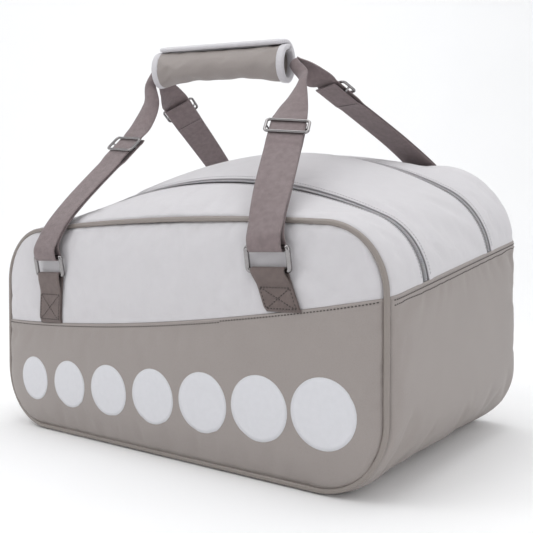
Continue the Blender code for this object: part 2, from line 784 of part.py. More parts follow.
def anchor_tab(leg, mats):
    """Short doubled webbing sewn to the panel, folded round the ring's lower bar."""
    bar = leg.lower_bar()
    outward = Vector((0, leg.face, 0))
    width = Vector((-leg.face, 0, 0))
    foot_wall = leg.wall(leg.foot_z)
    rows = 6
    under, upper = [], []
    for k in range(rows + 1):
        share = k / rows
        z = leg.foot_z + (bar.z - leg.foot_z) * share
        x = leg.tab_x() + (leg.ring_x - leg.tab_x()) * share
        first = leg.wall(z) + leg.face * (GAP + WEB_T / 2)
        raised = blend(WEB_T + GAP, 2 * (RING_WIRE_R + FOLD_PLAY) + WEB_T, (share - 0.6) / 0.4)
        under.append(at_depth(x, first, z))
        upper.append(at_depth(x, first + leg.face * raised, z))
    radius = RING_WIRE_R + FOLD_PLAY + WEB_T / 2
    stations = [ribbon_section(p, width, -outward, WEB_W / 2, WEB_T / 2) for p in under[:-1]]
    up = Vector((0, 0, 1))
    for k in range(0, 9):
        a = math.pi * k / 8
        direction = -outward * math.cos(a) + up * math.sin(a)
        stations.append(ribbon_section(bar + direction * radius, width, direction,
                                       WEB_W / 2, WEB_T / 2))
    stations += [ribbon_section(p, width, outward, WEB_W / 2, WEB_T / 2)
                 for p in reversed(upper[:-1])]
    sweep("anchor_tab_" + leg.name, stations, mats["webbing"])


LEGS = [
    Leg("front_left", -1, -1, (-0.162, 0.186), 0.134, -0.157, (0.95, -0.18, -0.25),
        [(-0.135, 0.080, 0.344), (-0.1245, 0.110, 0.402), (-0.1290, 0.1140, 0.428),
         (-0.1195, 0.1165, 0.4440)]),
    Leg("front_right", -1, 1, (0.149, 0.196), 0.163, 0.145, (0.85, 0.53, 0.0),
        [(0.107, 0.080, 0.340), (0.090, 0.122, 0.392), (0.083, 0.1420, 0.415),
         (0.0690, 0.1445, 0.4310)]),
    Leg("back_left", 1, -1, (-0.188, 0.276), 0.190, -0.190, (-0.80, -0.36, -0.48),
        [(-0.152, 0.200, 0.409), (-0.139, 0.154, 0.431), (-0.1340, 0.138, 0.439),
         (-0.1195, 0.1245, 0.4450)]),
    Leg("back_right", 1, 1, (0.148, 0.276), 0.222, 0.140, (-0.88, 0.44, -0.02),
        [(0.097, 0.196, 0.402), (0.080, 0.160, 0.425), (0.0690, 0.1520, 0.4316)]),
]


# ---------------------------------------------------------------- grip
def grip_frame():
    """The grip's two ends and its axis, front and up directions."""
    left, right = at_depth(*GRIP_LEFT), at_depth(*GRIP_RIGHT)
    axis = (right - left).normalized()
    front = axis.cross(Vector((0, 0, 1))).normalized()
    return left, right, axis, front, front.cross(axis)


def grip_point(along, angle, offset):
    """A point on the grip's oval: distance from the left mouth, degrees up from the front."""
    left, _, axis, front, up = grip_frame()
    a = math.radians(angle)
    return (left + axis * along + front * ((GRIP_HALF_DEEP + offset) * math.cos(a))
            + up * ((GRIP_HALF_TALL + offset) * math.sin(a)))


def grip_length():
    left, right, _, _, _ = grip_frame()
    return (right - left).length


def sector(name, start, end, angle_from, angle_to, inner, outer, steps, mat):
    """Part of a sleeve: a length of it, between two angles and two offsets from the oval."""
    angles = [angle_from + (angle_to - angle_from) * k / steps for k in range(steps + 1)]
    outside = [[grip_point(s, a, outer) for a in angles] for s in (start, end)]
    inside = [[grip_point(s, a, inner) for a in angles] for s in (start, end)]
    return grid_solid(name, outside, inside, mat)


def grip(mats):
    """Padded sleeve with bound ends, closed by a flap with hook and loop strips."""
    length = grip_length()
    low, high = SLIT_TO - 360, SLIT_FROM
    sector("grip_sleeve", GRIP_BINDING + GAP, length - GRIP_BINDING - GAP, low, high,
           -GRIP_WALL, 0.0, 24, mats["leather"])
    for word, start in (("left", 0.0), ("right", length - GRIP_BINDING)):
        sector("grip_binding_" + word, start, start + GRIP_BINDING, low, high,
               -GRIP_WALL - BINDING_PROUD, BINDING_PROUD, 24, mats["binding"])
    start, end = FLAP_INSET, length - FLAP_INSET
    split = FLAP_FROM + FLAP_EDGE
    sector("grip_flap", start, end, split + 0.6, FLAP_TO, FLAP_STAND, FLAP_STAND + FLAP_T, 10,
           mats["leather"])
    sector("grip_flap_binding", start, end, FLAP_FROM, split, FLAP_STAND, FLAP_STAND + FLAP_T, 4,
           mats["binding"])
    strip_start, strip_end = start + STRIP_SHORT, end - STRIP_SHORT
    sector("grip_loop_strip", strip_start, strip_end, FLAP_FROM + 3, SLIT_FROM - 2, GAP,
           GAP + FASTENER_T, 3, mats["tape"])
    sector("grip_hook_strip", strip_start, strip_end, FLAP_FROM + 3, SLIT_FROM - 2,
           2 * GAP + FASTENER_T, 2 * GAP + 2 * FASTENER_T, 3, mats["tape"])
    _, _, axis, front, up = grip_frame()
    for word, sign in (("front", 1), ("back", -1)):
        middle = front * (sign * 0.0036)
        stations = [ribbon_section(grip_point(s, 0, -GRIP_HALF_DEEP) + middle, up, front,
                                   MOUTH_W / 2, WEB_T * 0.9) for s in (GRIP_BINDING, length - GRIP_BINDING)]
        sweep("strap_" + word + "_in_grip", stations, mats["webbing"])


# ---------------------------------------------------------------- assembly
def make_materials():
    return {
        "fabric": material("pale_polyester", (0.70, 0.68, 0.71), 0.85),
        "leather": material("taupe_synthetic_leather", (0.36, 0.33, 0.31), 0.50),
        "piping": material("taupe_piping", (0.40, 0.37, 0.34), 0.45),
        "webbing": material("mauve_webbing", (0.28, 0.23, 0.22), 0.80),
        "binding": material("pale_binding", (0.74, 0.74, 0.78), 0.60),
        "tape": material("grey_tape", (0.42, 0.41, 0.43), 0.80),
        "coil": material("grey_nylon_coil", (0.50, 0.50, 0.53), 0.45),
        "steel": material("polished_steel", (0.70, 0.70, 0.72), 0.20, 1.0),
        "board": material("grey_polyethylene", (0.25, 0.25, 0.26), 0.55),
        "lining": material("grey_lining", (0.40, 0.39, 0.41), 0.85),
    }


def main():
    clear_scene()
    mats = make_materials()
    zip_edge = COIL_HALF + 2 * GAP + TAPE_W
    arch_strip("gusset_front", PIPING_R + GAP, ZIP_FRONT_Y - zip_edge, 5, mats["fabric"])
    arch_strip("gusset_middle", ZIP_FRONT_Y + zip_edge, ZIP_BACK_Y - zip_edge, 6, mats["fabric"])
    arch_strip("gusset_back", ZIP_BACK_Y + zip_edge, DEPTH - GAP, 6, mats["fabric"])
    side_panel("side_panel_right", 1, mats["leather"])
    side_panel("side_panel_left", -1, mats["leather"])
    bottom_panel(mats["leather"])
    end_panels(-1, mats)
    end_panels(1, mats)
    front_piping(mats["piping"])
    inside_parts(mats)
    for word, depth in (("front", ZIP_FRONT_Y), ("back", ZIP_BACK_Y)):
        zip_strips(word, depth, mats)
        zip_slider(word, depth, mats)
        zip_pull(word, depth, mats)
    for leg in LEGS:
        anchor_tab(leg, mats)
        ring(leg, mats)
        strap_leg(leg, mats)
        glide(leg, mats)
    grip(mats)


main()
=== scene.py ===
"""Paddle case: the finished looks of a soft zipped bag for padel rackets.

Every piece is made in metres in the frame's own axes: +Z up, the front panel faces -Y, and the
origin is the middle of the footprint. Depths written as "y from the front" start at the front seam.
"""
import json
import math

import bmesh
import bpy
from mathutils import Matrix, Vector
from mathutils import noise
from mathutils.bvhtree import BVHTree
from mathutils.kdtree import KDTree

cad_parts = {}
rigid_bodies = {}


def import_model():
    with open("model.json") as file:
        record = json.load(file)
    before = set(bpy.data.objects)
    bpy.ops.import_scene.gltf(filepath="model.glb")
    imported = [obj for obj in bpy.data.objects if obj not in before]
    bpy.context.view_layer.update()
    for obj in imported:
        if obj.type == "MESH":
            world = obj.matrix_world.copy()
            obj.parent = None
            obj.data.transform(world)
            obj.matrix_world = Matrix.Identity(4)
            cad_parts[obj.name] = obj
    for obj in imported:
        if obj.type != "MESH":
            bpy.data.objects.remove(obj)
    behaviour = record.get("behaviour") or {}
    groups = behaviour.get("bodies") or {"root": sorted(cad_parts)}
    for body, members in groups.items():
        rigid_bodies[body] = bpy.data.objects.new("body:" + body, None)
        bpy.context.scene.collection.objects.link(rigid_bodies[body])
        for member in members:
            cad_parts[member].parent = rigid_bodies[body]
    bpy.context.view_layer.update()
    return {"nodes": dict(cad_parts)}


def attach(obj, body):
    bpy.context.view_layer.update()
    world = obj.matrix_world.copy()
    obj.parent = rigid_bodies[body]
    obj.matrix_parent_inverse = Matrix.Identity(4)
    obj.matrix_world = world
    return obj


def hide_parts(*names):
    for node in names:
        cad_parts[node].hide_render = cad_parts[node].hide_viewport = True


bl_info = {
    "name": "Paddle Case",
    "version": (1, 0, 0),
    "blender": (4, 5, 0),
    "location": "3D View > Sidebar > Paddle Case",
    "description": "Builds the fabric, leather, webbing and metal of a padel racket bag on its frame",
    "category": "Object",
}

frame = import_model()
NODES = frame["nodes"]

# ---------------------------------------------------------------- the frame's own sizes
LENGTH = 0.525
DEPTH = 0.345
BACK_FLARE = 0.003
FRONT_HEIGHT = 0.2500
BACK_HEIGHT = 0.3345
CROWN_LIFT = 0.0365
FRONT_RISE = 0.073
BACK_RISE = 0.114
RISE_LIFT = 0.047
FRONT_SHOULDER_R = 0.066
BACK_SHOULDER_R = 0.108
BOTTOM_CORNER_R = 0.072
SEAM_TUCK = 0.0036
TUCK_RUN = 0.018
PANEL_BULGE = 0.012
GAP = 0.0003
SHELL_T = 0.0026
PIPING_R = 0.0032
SEAM_LEFT_Z = 0.129
SEAM_SWEEP = 0.047
HEM_CLIMB = 0.052
BASE_HALF = 0.150
ZIP_DEPTHS = {"front": 0.072, "back": 0.248}
COIL_HALF = 0.0034
TAPE_W = 0.0042
WEB_W = 0.038
WEB_T = 0.0014
SQUARE_AFTER = 0.030
LAYER_GAP = 0.0010
TAB_SPREAD = 0.164
RING_WIRE_R = 0.0019
RING_INNER_W = WEB_W + 0.004
RING_PITCH = 0.022
RING_CORNER_R = 0.003
RING_LEAN = 0.004
FOLD_PLAY = 0.0006
RING_SLACK = 0.0015
RING_SIDE_GIRTH = 1.3        # the ring's side bars beside its upper and lower bars
GLIDE_WIRE_R = 0.0016
GLIDE_INNER_W = WEB_W + 0.004
GLIDE_PITCH = 0.021
GLIDE_CORNER_R = 0.0035
GLIDE_TRAVEL = 0.008
GLIDE_RISE = 0.003
RIM_CLEAR = 0.0025
TAIL_PAST_GLIDE = 0.018
PANEL_CLEAR = 0.0008
GRIP_LEFT = (-0.116, 0.120, 0.4446)
GRIP_RIGHT = (0.064, 0.148, 0.4316)
GRIP_HALF_DEEP = 0.0175
GRIP_HALF_TALL = 0.0205
GRIP_WALL = 0.0045
GRIP_BINDING = 0.009
SLIT_FROM, SLIT_TO = 88.0, 112.0
FLAP_FROM, FLAP_TO = 60.0, 160.0
FLAP_T = 0.0030
FLAP_STAND = 0.0025
FLAP_INSET = 0.004

# ---------------------------------------------------------------- how finely the pieces are made
CLOTH_STEP = 0.0050          # spacing of the cloth's grid
ARC_STEPS = 24
GUSSET_STEPS = 142           # steps of a gusset over the arch
TAPE_STEPS = 140             # steps of a zip tape over the arch
RIM_POINTS = 560             # points round the front outline
CORD_R = 0.0027              # the cord where it shows between the two grooves
CORD_GROOVE = 0.0034         # depth of the sewn groove beside the piping
CORD_GROOVE_RUN = 0.0048
FLOOR_CLEAR = 0.0002         # settled cloth stays above the floor
SPAN_STEPS = 10              # steps of a strap between two control points
BAR_SIDES = 20
HEM_ROWS = (0.0, 0.0006, 0.0013, 0.0022, 0.0031, 0.0040, 0.0056)   # distances in from a folded edge
STITCH_IN = 0.0034           # a row of stitches, in from a folded edge
SECOND_ROW_IN = 0.0078
BACK_EDGE = DEPTH - 0.0006   # where the strips and sides end, in front of the back seam
FRONT_EDGE = PIPING_R * 0.6  # where the sides and base start, behind the piping
SIDE_UP = 0.262              # from the underside round the lower corner to the hem
TAPE_T = 0.0007
GLIDE_POINT = 6              # the glide's place among a strap's control points
PRINT_LIFT = 0.0002
PRINT_T = 0.00025
THREAD_SIDES = 6
INSIDE = Vector((0, 0, 0.1))   # a place inside the bag that its covers face away from
WAVE = math.pi / 10          # a wave texture of this scale has bands one metre apart


def linear(hex_colour):
    """An sRGB hex colour as linear red, green and blue."""
    channels = [int(hex_colour[k:k + 2], 16) / 255 for k in (1, 3, 5)]
    return [c / 12.92 if c <= 0.04045 else ((c + 0.055) / 1.055) ** 2.4 for c in channels]


def colour_setting(label, words, hex_colour):
    return bpy.props.FloatVectorProperty(name=label, description=words, subtype="COLOR", size=3,
                                         min=0.0, max=1.0, default=linear(hex_colour))


def length_setting(label, words, metres):
    return bpy.props.FloatProperty(name=label, description=words, unit="LENGTH", precision=5,
                                   min=0.0, default=metres)


class PaddleCaseSizes(bpy.types.PropertyGroup):
    """Sizes of the sewing and of the cloth that a user would change."""

    stitch: length_setting("Stitch", "Length of one stitch", 0.0023)
    stitch_apart: length_setting("Stitch spacing", "From one stitch to the next", 0.0033)
    thread_r: length_setting("Thread radius", "Radius of the sewing thread", 0.00056)
    hem_rise: length_setting("Hem rise", "How far a folded edge stands up", 0.0011)
    leather_rise: length_setting("Leather rise", "How far the leather lies over the fabric", 0.0010)
    tooth_apart: length_setting("Tooth spacing", "From one turn of the zip's coil to the next", 0.0018)
    cover_t: length_setting("Cover thickness", "Fabric, foam and lining together", 0.0022)
    settle_cap: length_setting("Settling limit", "How far the cloth may move as it settles", 0.0035)
    fullness: bpy.props.FloatProperty(name="Fullness", default=0.012, min=0.0, max=0.1,
                                      description="Share by which the cloth is larger than its frame")
    pressure: bpy.props.FloatProperty(name="Padding pressure", default=4.0, min=0.0,
                                      description="Pressure of the foam behind the cloth")
    frames: bpy.props.IntProperty(name="Settling frames", default=20, min=1,
                                  description="Frames that the cloth settles for")


class PaddleCaseColours(bpy.types.PropertyGroup):
    """Colours of the finishes."""

    fabric: colour_setting("Pale fabric", "Polyester of the upper half and the top", "#D9D7D9")
    fabric_shade: colour_setting("Fabric shade", "Between the fabric's threads", "#C7C4C7")
    leather: colour_setting("Leather", "Coated synthetic leather of the lower half", "#9D9591")
    leather_shade: colour_setting("Leather shade", "In the leather's grain", "#8D8581")
    piping: colour_setting("Piping", "Covered cord round the front panel", "#8E8680")
    webbing: colour_setting("Webbing", "Crowns of the strap's threads", "#9C8D8D")
    webbing_shade: colour_setting("Webbing shade", "Between the strap's threads", "#6F6263")
    tab: colour_setting("Tab webbing", "Crowns of the anchor tab's threads", "#81736F")
    tab_shade: colour_setting("Tab webbing shade", "Between the tab's threads", "#5E524F")
    binding: colour_setting("Binding", "Pale ribbed tape on the grip", "#DEDDE1")
    tape: colour_setting("Zip tape", "Woven tape beside the coil", "#979497")
    coil: colour_setting("Coil", "Nylon coil of the zips", "#BDBBBE")
    # Darker than real nickel plate: painted shade that stands in for the darker surroundings the metal
    # would reflect.
    nickel: colour_setting("Nickel", "Plated rings, glides and sliders", "#9C9999")
    thread: colour_setting("Thread", "Sewing thread on the leather", "#4B443F")
    thread_light: colour_setting("Light thread", "Sewing thread on the webbing", "#463C39")
    ink: colour_setting("Print", "Screen print on the leather", "#D8D8DC")
    floor: colour_setting("Floor", "Painted floor and backdrop", "#FDFDFD")


def sizes():
    return bpy.context.scene.paddle_case_sizes


def colours():
    return bpy.context.scene.paddle_case_colours


# ---------------------------------------------------------------- the bag's outline
def at_depth(x, depth, z):
    """A point given by its depth behind the front seam."""
    return Vector((x, depth - DEPTH / 2, z))


def ease(low, high, share):
    """Smooth step from low to high."""
    share = min(max(share, 0.0), 1.0)
    return low + (high - low) * share * share * (3 - 2 * share)


class Section:
    """The bag's outline at one depth, drawn in by 'inset' for an inner face."""

    def __init__(self, depth, inset=0.0):
        share = depth / DEPTH
        swell = 4 * share * (1 - share)
        edge = max(0.0, 1 - min(depth, DEPTH - depth) / TUCK_RUN)
        drawn_in = inset + SEAM_TUCK * edge ** 2
        self.half = LENGTH / 2 + BACK_FLARE * share - drawn_in
        self.base = drawn_in
        crown = FRONT_HEIGHT + (BACK_HEIGHT - FRONT_HEIGHT) * share + CROWN_LIFT * swell
        rise = FRONT_RISE + (BACK_RISE - FRONT_RISE) * share + RISE_LIFT * swell
        self.top = crown - drawn_in
        self.spring_z = crown - rise
        shoulder = FRONT_SHOULDER_R + (BACK_SHOULDER_R - FRONT_SHOULDER_R) * share
        self.shoulder = shoulder - drawn_in
        self.corner = BOTTOM_CORNER_R - drawn_in
        slope = (self.top - self.spring_z - self.shoulder) / (self.half - self.shoulder)
        self.turn = math.pi / 2 - 2 * math.atan(slope)
        self.crown_r = (self.half - self.shoulder) / math.cos(self.turn) + self.shoulder
        self.crown_z = self.top - self.crown_r

    def half_width(self, z):
        """Half width at a height between the lower corners and the shoulders."""
        if z < self.base + self.corner:
            drop = (self.base + self.corner - z) / self.corner
            return self.half - self.corner * (1 - math.sqrt(max(0.0, 1 - drop ** 2)))
        if z <= self.spring_z:
            return self.half
        drop = (z - self.spring_z) / self.shoulder
        return self.half - self.shoulder * (1 - math.sqrt(max(0.0, 1 - drop ** 2)))

    def crown_height(self, x):
        """Height of the outline's top at x."""
        centre = self.half - self.shoulder
        if abs(x) > centre + self.shoulder * math.cos(self.turn):
            return self.spring_z + math.sqrt(max(0.0, self.shoulder ** 2 - (abs(x) - centre) ** 2))
        return self.crown_z + math.sqrt(self.crown_r ** 2 - x ** 2)

    def foot_height(self, x):
        """Height of the outline's underside at x."""
        over = abs(x) - (self.half - self.corner)
        if over <= 0:
            return self.base
        return self.base + self.corner - math.sqrt(max(0.0, self.corner ** 2 - over ** 2))

    def shoulder_start(self, z):
        """Angle on the shoulder at a height, zero where it springs from the side."""
        return math.asin(min(1.0, max(0.0, (z - self.spring_z) / self.shoulder)))

    def shoulder_point(self, angle):
        return (self.half - self.shoulder * (1 - math.cos(angle)),
                self.spring_z + self.shoulder * math.sin(angle))

    def half_top(self, hem_z):
        """(x, z) points from the hem on the +X side up to the middle of the crown."""
        points = [(self.half, hem_z)] if hem_z < self.spring_z else []
        start = self.shoulder_start(hem_z)
        for k in range(ARC_STEPS + 1):
            points.append(self.shoulder_point(start + (self.turn - start) * k / ARC_STEPS))
        for k in range(1, ARC_STEPS + 1):
            a = self.turn + (math.pi / 2 - self.turn) * k / ARC_STEPS
            points.append((self.crown_r * math.cos(a), self.crown_z + self.crown_r * math.sin(a)))
        return points

    def half_bottom(self, from_x, hem_z):
        """(x, z) points from the underside round the lower corner and up to the hem."""
        points = [(from_x, self.base)]
        for k in range(ARC_STEPS + 1):
            a = math.pi / 2 * k / ARC_STEPS
            points.append((self.half - self.corner * (1 - math.sin(a)),
                           self.base + self.corner * (1 - math.cos(a))))
        if hem_z <= self.spring_z:
            return points + [(self.half, hem_z)]
        points.append((self.half, self.spring_z))
        end = self.shoulder_start(hem_z)
        return points + [self.shoulder_point(end * k / 8) for k in range(1, 9)]


def seam_height(x):
    """Height of the two-tone seam on the front panel."""
    return SEAM_LEFT_Z + SEAM_SWEEP * ((x + LENGTH / 2) / LENGTH) ** 2


def hem_height(side, depth):
    """Height of the side hem; side is +1 or -1."""
    return seam_height(side * LENGTH / 2) + HEM_CLIMB * depth / DEPTH


def back_seam_height(x):
    return seam_height(x) + HEM_CLIMB


def bulge(x, z, top):
    """How far an end panel swells, nothing at its rim and PANEL_BULGE in the middle."""
    across = max(0.0, 1 - (2 * x / LENGTH) ** 2)
    up = max(0.0, 1 - ((z - top / 2) / (top / 2)) ** 2)
    return PANEL_BULGE * math.sqrt(across * up)


# ---------------------------------------------------------------- lines and curves
def resample(points, pieces):
    """Evenly spaced points along a polyline."""
    points = [Vector(p) for p in points]
    lengths = [0.0]
    for a, b in zip(points, points[1:]):
        lengths.append(lengths[-1] + (b - a).length)
    result = []
    k = 0
    for step in range(pieces + 1):
        want = lengths[-1] * step / pieces
        while k < len(points) - 2 and lengths[k + 1] < want:
            k += 1
        span = max(lengths[k + 1] - lengths[k], 1e-12)
        result.append(points[k].lerp(points[k + 1], min(max((want - lengths[k]) / span, 0.0), 1.0)))
    return result


def spline(points, steps):
    """A smooth curve through points (centripetal Catmull-Rom), with the given steps in each span."""
    padded = [2 * points[0] - points[1]] + points + [2 * points[-1] - points[-2]]
    result = []
    for k in range(1, len(padded) - 2):
        p = padded[k - 1:k + 3]
        t = [0.0]
        for before, after in zip(p, p[1:]):
            t.append(t[-1] + math.sqrt((after - before).length))
        for step in range(steps):
            u = t[1] + (t[2] - t[1]) * step / steps
            first = p[0].lerp(p[1], u / t[1])
            second = p[1].lerp(p[2], (u - t[1]) / (t[2] - t[1]))
            third = p[2].lerp(p[3], (u - t[2]) / (t[3] - t[2]))
            low = first.lerp(second, u / t[2])
            high = second.lerp(third, (u - t[1]) / (t[3] - t[1]))
            result.append(low.lerp(high, (u - t[1]) / (t[2] - t[1])))
    return result + [points[-1].copy()]


def line_length(points):
    return sum((b - a).length for a, b in zip(points, points[1:]))


def spaced(half, steps):
    """Evenly spaced places from -half to half, with the given steps on each side of the middle."""
    return [half * (k / steps - 1) for k in range(2 * steps + 1)]


def steps_between(start, end, start_hem=False, end_hem=False):
    """Distances from start to end about CLOTH_STEP apart, closer beside a folded edge."""
    total = end - start
    near = HEM_ROWS[-1] if start_hem else 0.0
    far = HEM_ROWS[-1] if end_hem else 0.0
    count = max(2, round((total - near - far) / CLOTH_STEP))
    rows = [start + near + (total - near - far) * k / count for k in range(count + 1)]
    if start_hem:
        rows = [start + d for d in HEM_ROWS[:-1]] + rows
    if end_hem:
        rows += [end - d for d in reversed(HEM_ROWS[:-1])]
    return rows


def fold(distance):
    """Height of a folded and stitched edge at a distance in from it."""
    lip = ease(0.0, 1.0, distance / 0.0011) * (1 - 0.55 * ease(0.0, 1.0, (distance - 0.0045) / 0.004))
    groove = math.exp(-((distance - STITCH_IN) / 0.0008) ** 2)
    return sizes().hem_rise * (lip - 0.45 * groove)


# ---------------------------------------------------------------- meshes
def new_object(name, mesh, mat, body="root"):
    """Put a mesh in the scene as a smooth piece that rides on a body."""
    mesh.materials.append(mat)
    mesh.shade_smooth()
    obj = bpy.data.objects.new(name, mesh)
    bpy.context.scene.collection.objects.link(obj)
    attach(obj, body)
    return obj


def mesh_from(name, verts, faces, uvs=None):
    """A mesh from vertices and faces, with an optional UV place in metres for each vertex."""
    mesh = bpy.data.meshes.new(name)
    mesh.from_pydata([tuple(v) for v in verts], [], faces)
    if uvs:
        layer = mesh.uv_layers.new(name="Cloth").data
        for loop in mesh.loops:
            layer[loop.index].uv = uvs[loop.vertex_index]
    return mesh


def grid_mesh(name, grid, away_from):
    """A sheet from rows of points, facing away from a point, with UVs measured along it in metres."""
    rows, cols = len(grid), len(grid[0])
    verts = [p for row in grid for p in row]
    across = [0.0]
    for a, b in zip(grid[rows // 2], grid[rows // 2][1:]):
        across.append(across[-1] + (b - a).length)
    down = [0.0]
    for a, b in zip(grid, grid[1:]):
        down.append(down[-1] + (b[cols // 2] - a[cols // 2]).length)
    uvs = [(u, v) for v in down for u in across]
    faces = []
    for r in range(rows - 1):
        for c in range(cols - 1):
            a = r * cols + c
            faces.append((a, a + 1, a + 1 + cols, a + cols))
    mesh = mesh_from(name, verts, faces, uvs)
    facing = sum(f.normal.dot(f.center - away_from) * f.area for f in mesh.polygons)
    if facing < 0:
        mesh.flip_normals()
    return mesh


def face_outward(mesh):
    """Turn a closed mesh's faces outward."""
    bm = bmesh.new()
    bm.from_mesh(mesh)
    bmesh.ops.recalc_face_normals(bm, faces=bm.faces)
    bm.to_mesh(mesh)
    bm.free()


def tube_mesh(name, stations, closed=False):
    """A closed skin over stations, each a list of the section's points."""
    count = len(stations[0])
    verts = [p for station in stations for p in station]
    centres = [sum(station, Vector()) / count for station in stations]
    along = [0.0]
    for a, b in zip(centres, centres[1:]):
        along.append(along[-1] + (b - a).length)
    around = [0.0]
    for a, b in zip(stations[0], stations[0][1:]):
        around.append(around[-1] + (b - a).length)
    uvs = [(s, w) for s in along for w in around]
    faces = []
    for s in range(len(stations) if closed else len(stations) - 1):
        here, there = s * count, ((s + 1) % len(stations)) * count
        for k in range(count):
            n = (k + 1) % count
            faces.append((here + k, here + n, there + n, there + k))
    if not closed:
        faces.append(tuple(range(count)))
        faces.append(tuple((len(stations) - 1) * count + k for k in range(count)))
    mesh = mesh_from(name, verts, faces, uvs)
    face_outward(mesh)
    return mesh


def skin_rings(faces, base, rings, sides):
    """Add the faces of a short closed tube over rings of vertices, numbered from base."""
    for r in range(rings - 1):
        for n in range(sides):
            a, b = base + r * sides + n, base + r * sides + (n + 1) % sides
            faces.append((a, b, b + sides, a + sides))
    last = base + (rings - 1) * sides
    faces.append(tuple(base + n for n in reversed(range(sides))))
    faces.append(tuple(last + n for n in range(sides)))


def circle(centre, side, up, radius, count):
    """Points of a circle about centre in the plane of side and up."""
    turns = [2 * math.pi * k / count for k in range(count)]
    return [centre + side * (radius * math.cos(a)) + up * (radius * math.sin(a)) for a in turns]


def loop_stations(path, normal, radius):
    """Round sections along a closed flat path."""
    stations = []
    for k, point in enumerate(path):
        along = (path[(k + 1) % len(path)] - path[k - 1]).normalized()
        side = along.cross(normal).normalized()
        stations.append(circle(point, side, side.cross(along), radius, BAR_SIDES))
    return stations


def give_thickness(obj, thickness):
    """Turn a sheet into a cover with a back face and closed rims."""
    solid = obj.modifiers.new("Thickness", "SOLIDIFY")
    solid.thickness = thickness
    solid.offset = -1.0
    solid.use_even_offset = False


def edge_vertices(rows, cols):
    """Numbers of the vertices round the rim of a grid."""
    rim = set(range(cols)) | set(range((rows - 1) * cols, rows * cols))
    for r in range(rows):
        rim |= {r * cols, r * cols + cols - 1}
    return rim


def settle(pieces, share=1.0):
    """Let sewn panels find their own folds, held at their seams. pieces is (object, held vertices)."""
    set_up = sizes()
    cap = set_up.settle_cap * share
    for obj, held in pieces:
        obj.vertex_groups.new(name="Sewn").add(sorted(held), 1.0, "REPLACE")
        cloth = obj.modifiers.new("Settle", "CLOTH")
        cloth.settings.quality = 5
        cloth.settings.mass = 0.15
        cloth.settings.tension_stiffness = 20
        cloth.settings.compression_stiffness = 20
        cloth.settings.shear_stiffness = 8
        cloth.settings.bending_stiffness = 1.5
        cloth.settings.shrink_min = -set_up.fullness
        cloth.settings.vertex_group_mass = "Sewn"
        cloth.settings.use_pressure = True
        cloth.settings.uniform_pressure_force = set_up.pressure
        cloth.settings.effector_weights.gravity = 0.0
        cloth.point_cache.frame_start = 1
        cloth.point_cache.frame_end = set_up.frames
    scene = bpy.context.scene
    for number in range(1, set_up.frames + 1):
        scene.frame_set(number)
    graph = bpy.context.evaluated_depsgraph_get()
    settled = [[v.co.copy() for v in obj.evaluated_get(graph).data.vertices] for obj, _ in pieces]
    for (obj, _), places in zip(pieces, settled):
        obj.modifiers.remove(obj.modifiers["Settle"])
        obj.vertex_groups.clear()
        for vertex, place in zip(obj.data.vertices, places):
            move = place - vertex.co
            if move.length > 0:
                vertex.co += move * (math.tanh(move.length / cap) * cap / move.length)
            vertex.co.z = max(vertex.co.z, FLOOR_CLEAR)
        obj.data.update()
    scene.frame_set(1)


# ---------------------------------------------------------------- materials
def add_node(tree, kind, settings=None, inputs=None):
    """Add a node with its settings, and link or set its inputs."""
    node = tree.nodes.new(kind)
    for key, value in (settings or {}).items():
        setattr(node, key, value)
    for key, value in (inputs or {}).items():
        if isinstance(value, bpy.types.NodeSocket):
            tree.links.new(value, node.inputs[key])
        else:
            node.inputs[key].default_value = value
    return node


def start_material(name, **inputs):
    """A new material: its Principled shader, with the values that are the same all over it."""
    mat = bpy.data.materials.new(name)
    mat.use_nodes = True
    tree = mat.node_tree
    tree.nodes.clear()
    values = {key.replace("_", " "): value for key, value in inputs.items()}
    shader = add_node(tree, "ShaderNodeBsdfPrincipled", inputs=values)
    add_node(tree, "ShaderNodeOutputMaterial", inputs={"Surface": shader.outputs["BSDF"]})
    return mat, tree, shader


def finish_surface(tree, shader, low, high, factor, height=None, depth=0.0, strength=1.0):
    """Colour between two colours by a pattern, and relief of the given depth in metres."""
    mix = add_node(tree, "ShaderNodeMix", {"data_type": "RGBA"},
                   {0: factor, 6: (*low, 1.0), 7: (*high, 1.0)})
    tree.links.new(mix.outputs[2], shader.inputs["Base Color"])
    if height is not None:
        bump = add_node(tree, "ShaderNodeBump",
                        inputs={"Strength": strength, "Distance": depth, "Height": height})
        tree.links.new(bump.outputs["Normal"], shader.inputs["Normal"])


def mottle(tree, patch, low, high):
    """Soft patches of the given size in metres, as values from low to high."""
    place = add_node(tree, "ShaderNodeTexCoord").outputs["Object"]
    cloud = add_node(tree, "ShaderNodeTexNoise",
                     inputs={"Vector": place, "Scale": 1 / patch, "Detail": 3.0})
    spread = add_node(tree, "ShaderNodeMapRange",
                      inputs={0: cloud.outputs["Fac"], 1: 0.3, 2: 0.7, 3: low, 4: high})
    return spread.outputs[0]


def thread_bands(tree, spacing, direction):
    """Ridges of threads laid side by side along the cloth; spacing in metres."""
    place = add_node(tree, "ShaderNodeTexCoord").outputs["UV"]
    scale = (2 if direction == "DIAGONAL" else 1) * WAVE / spacing
    return add_node(tree, "ShaderNodeTexWave", {"bands_direction": direction},
                    {"Vector": place, "Scale": scale}).outputs["Fac"]


TIMES = {"operation": "MULTIPLY"}
PLUS = {"operation": "ADD"}
TIMES_PLUS = {"operation": "MULTIPLY_ADD"}


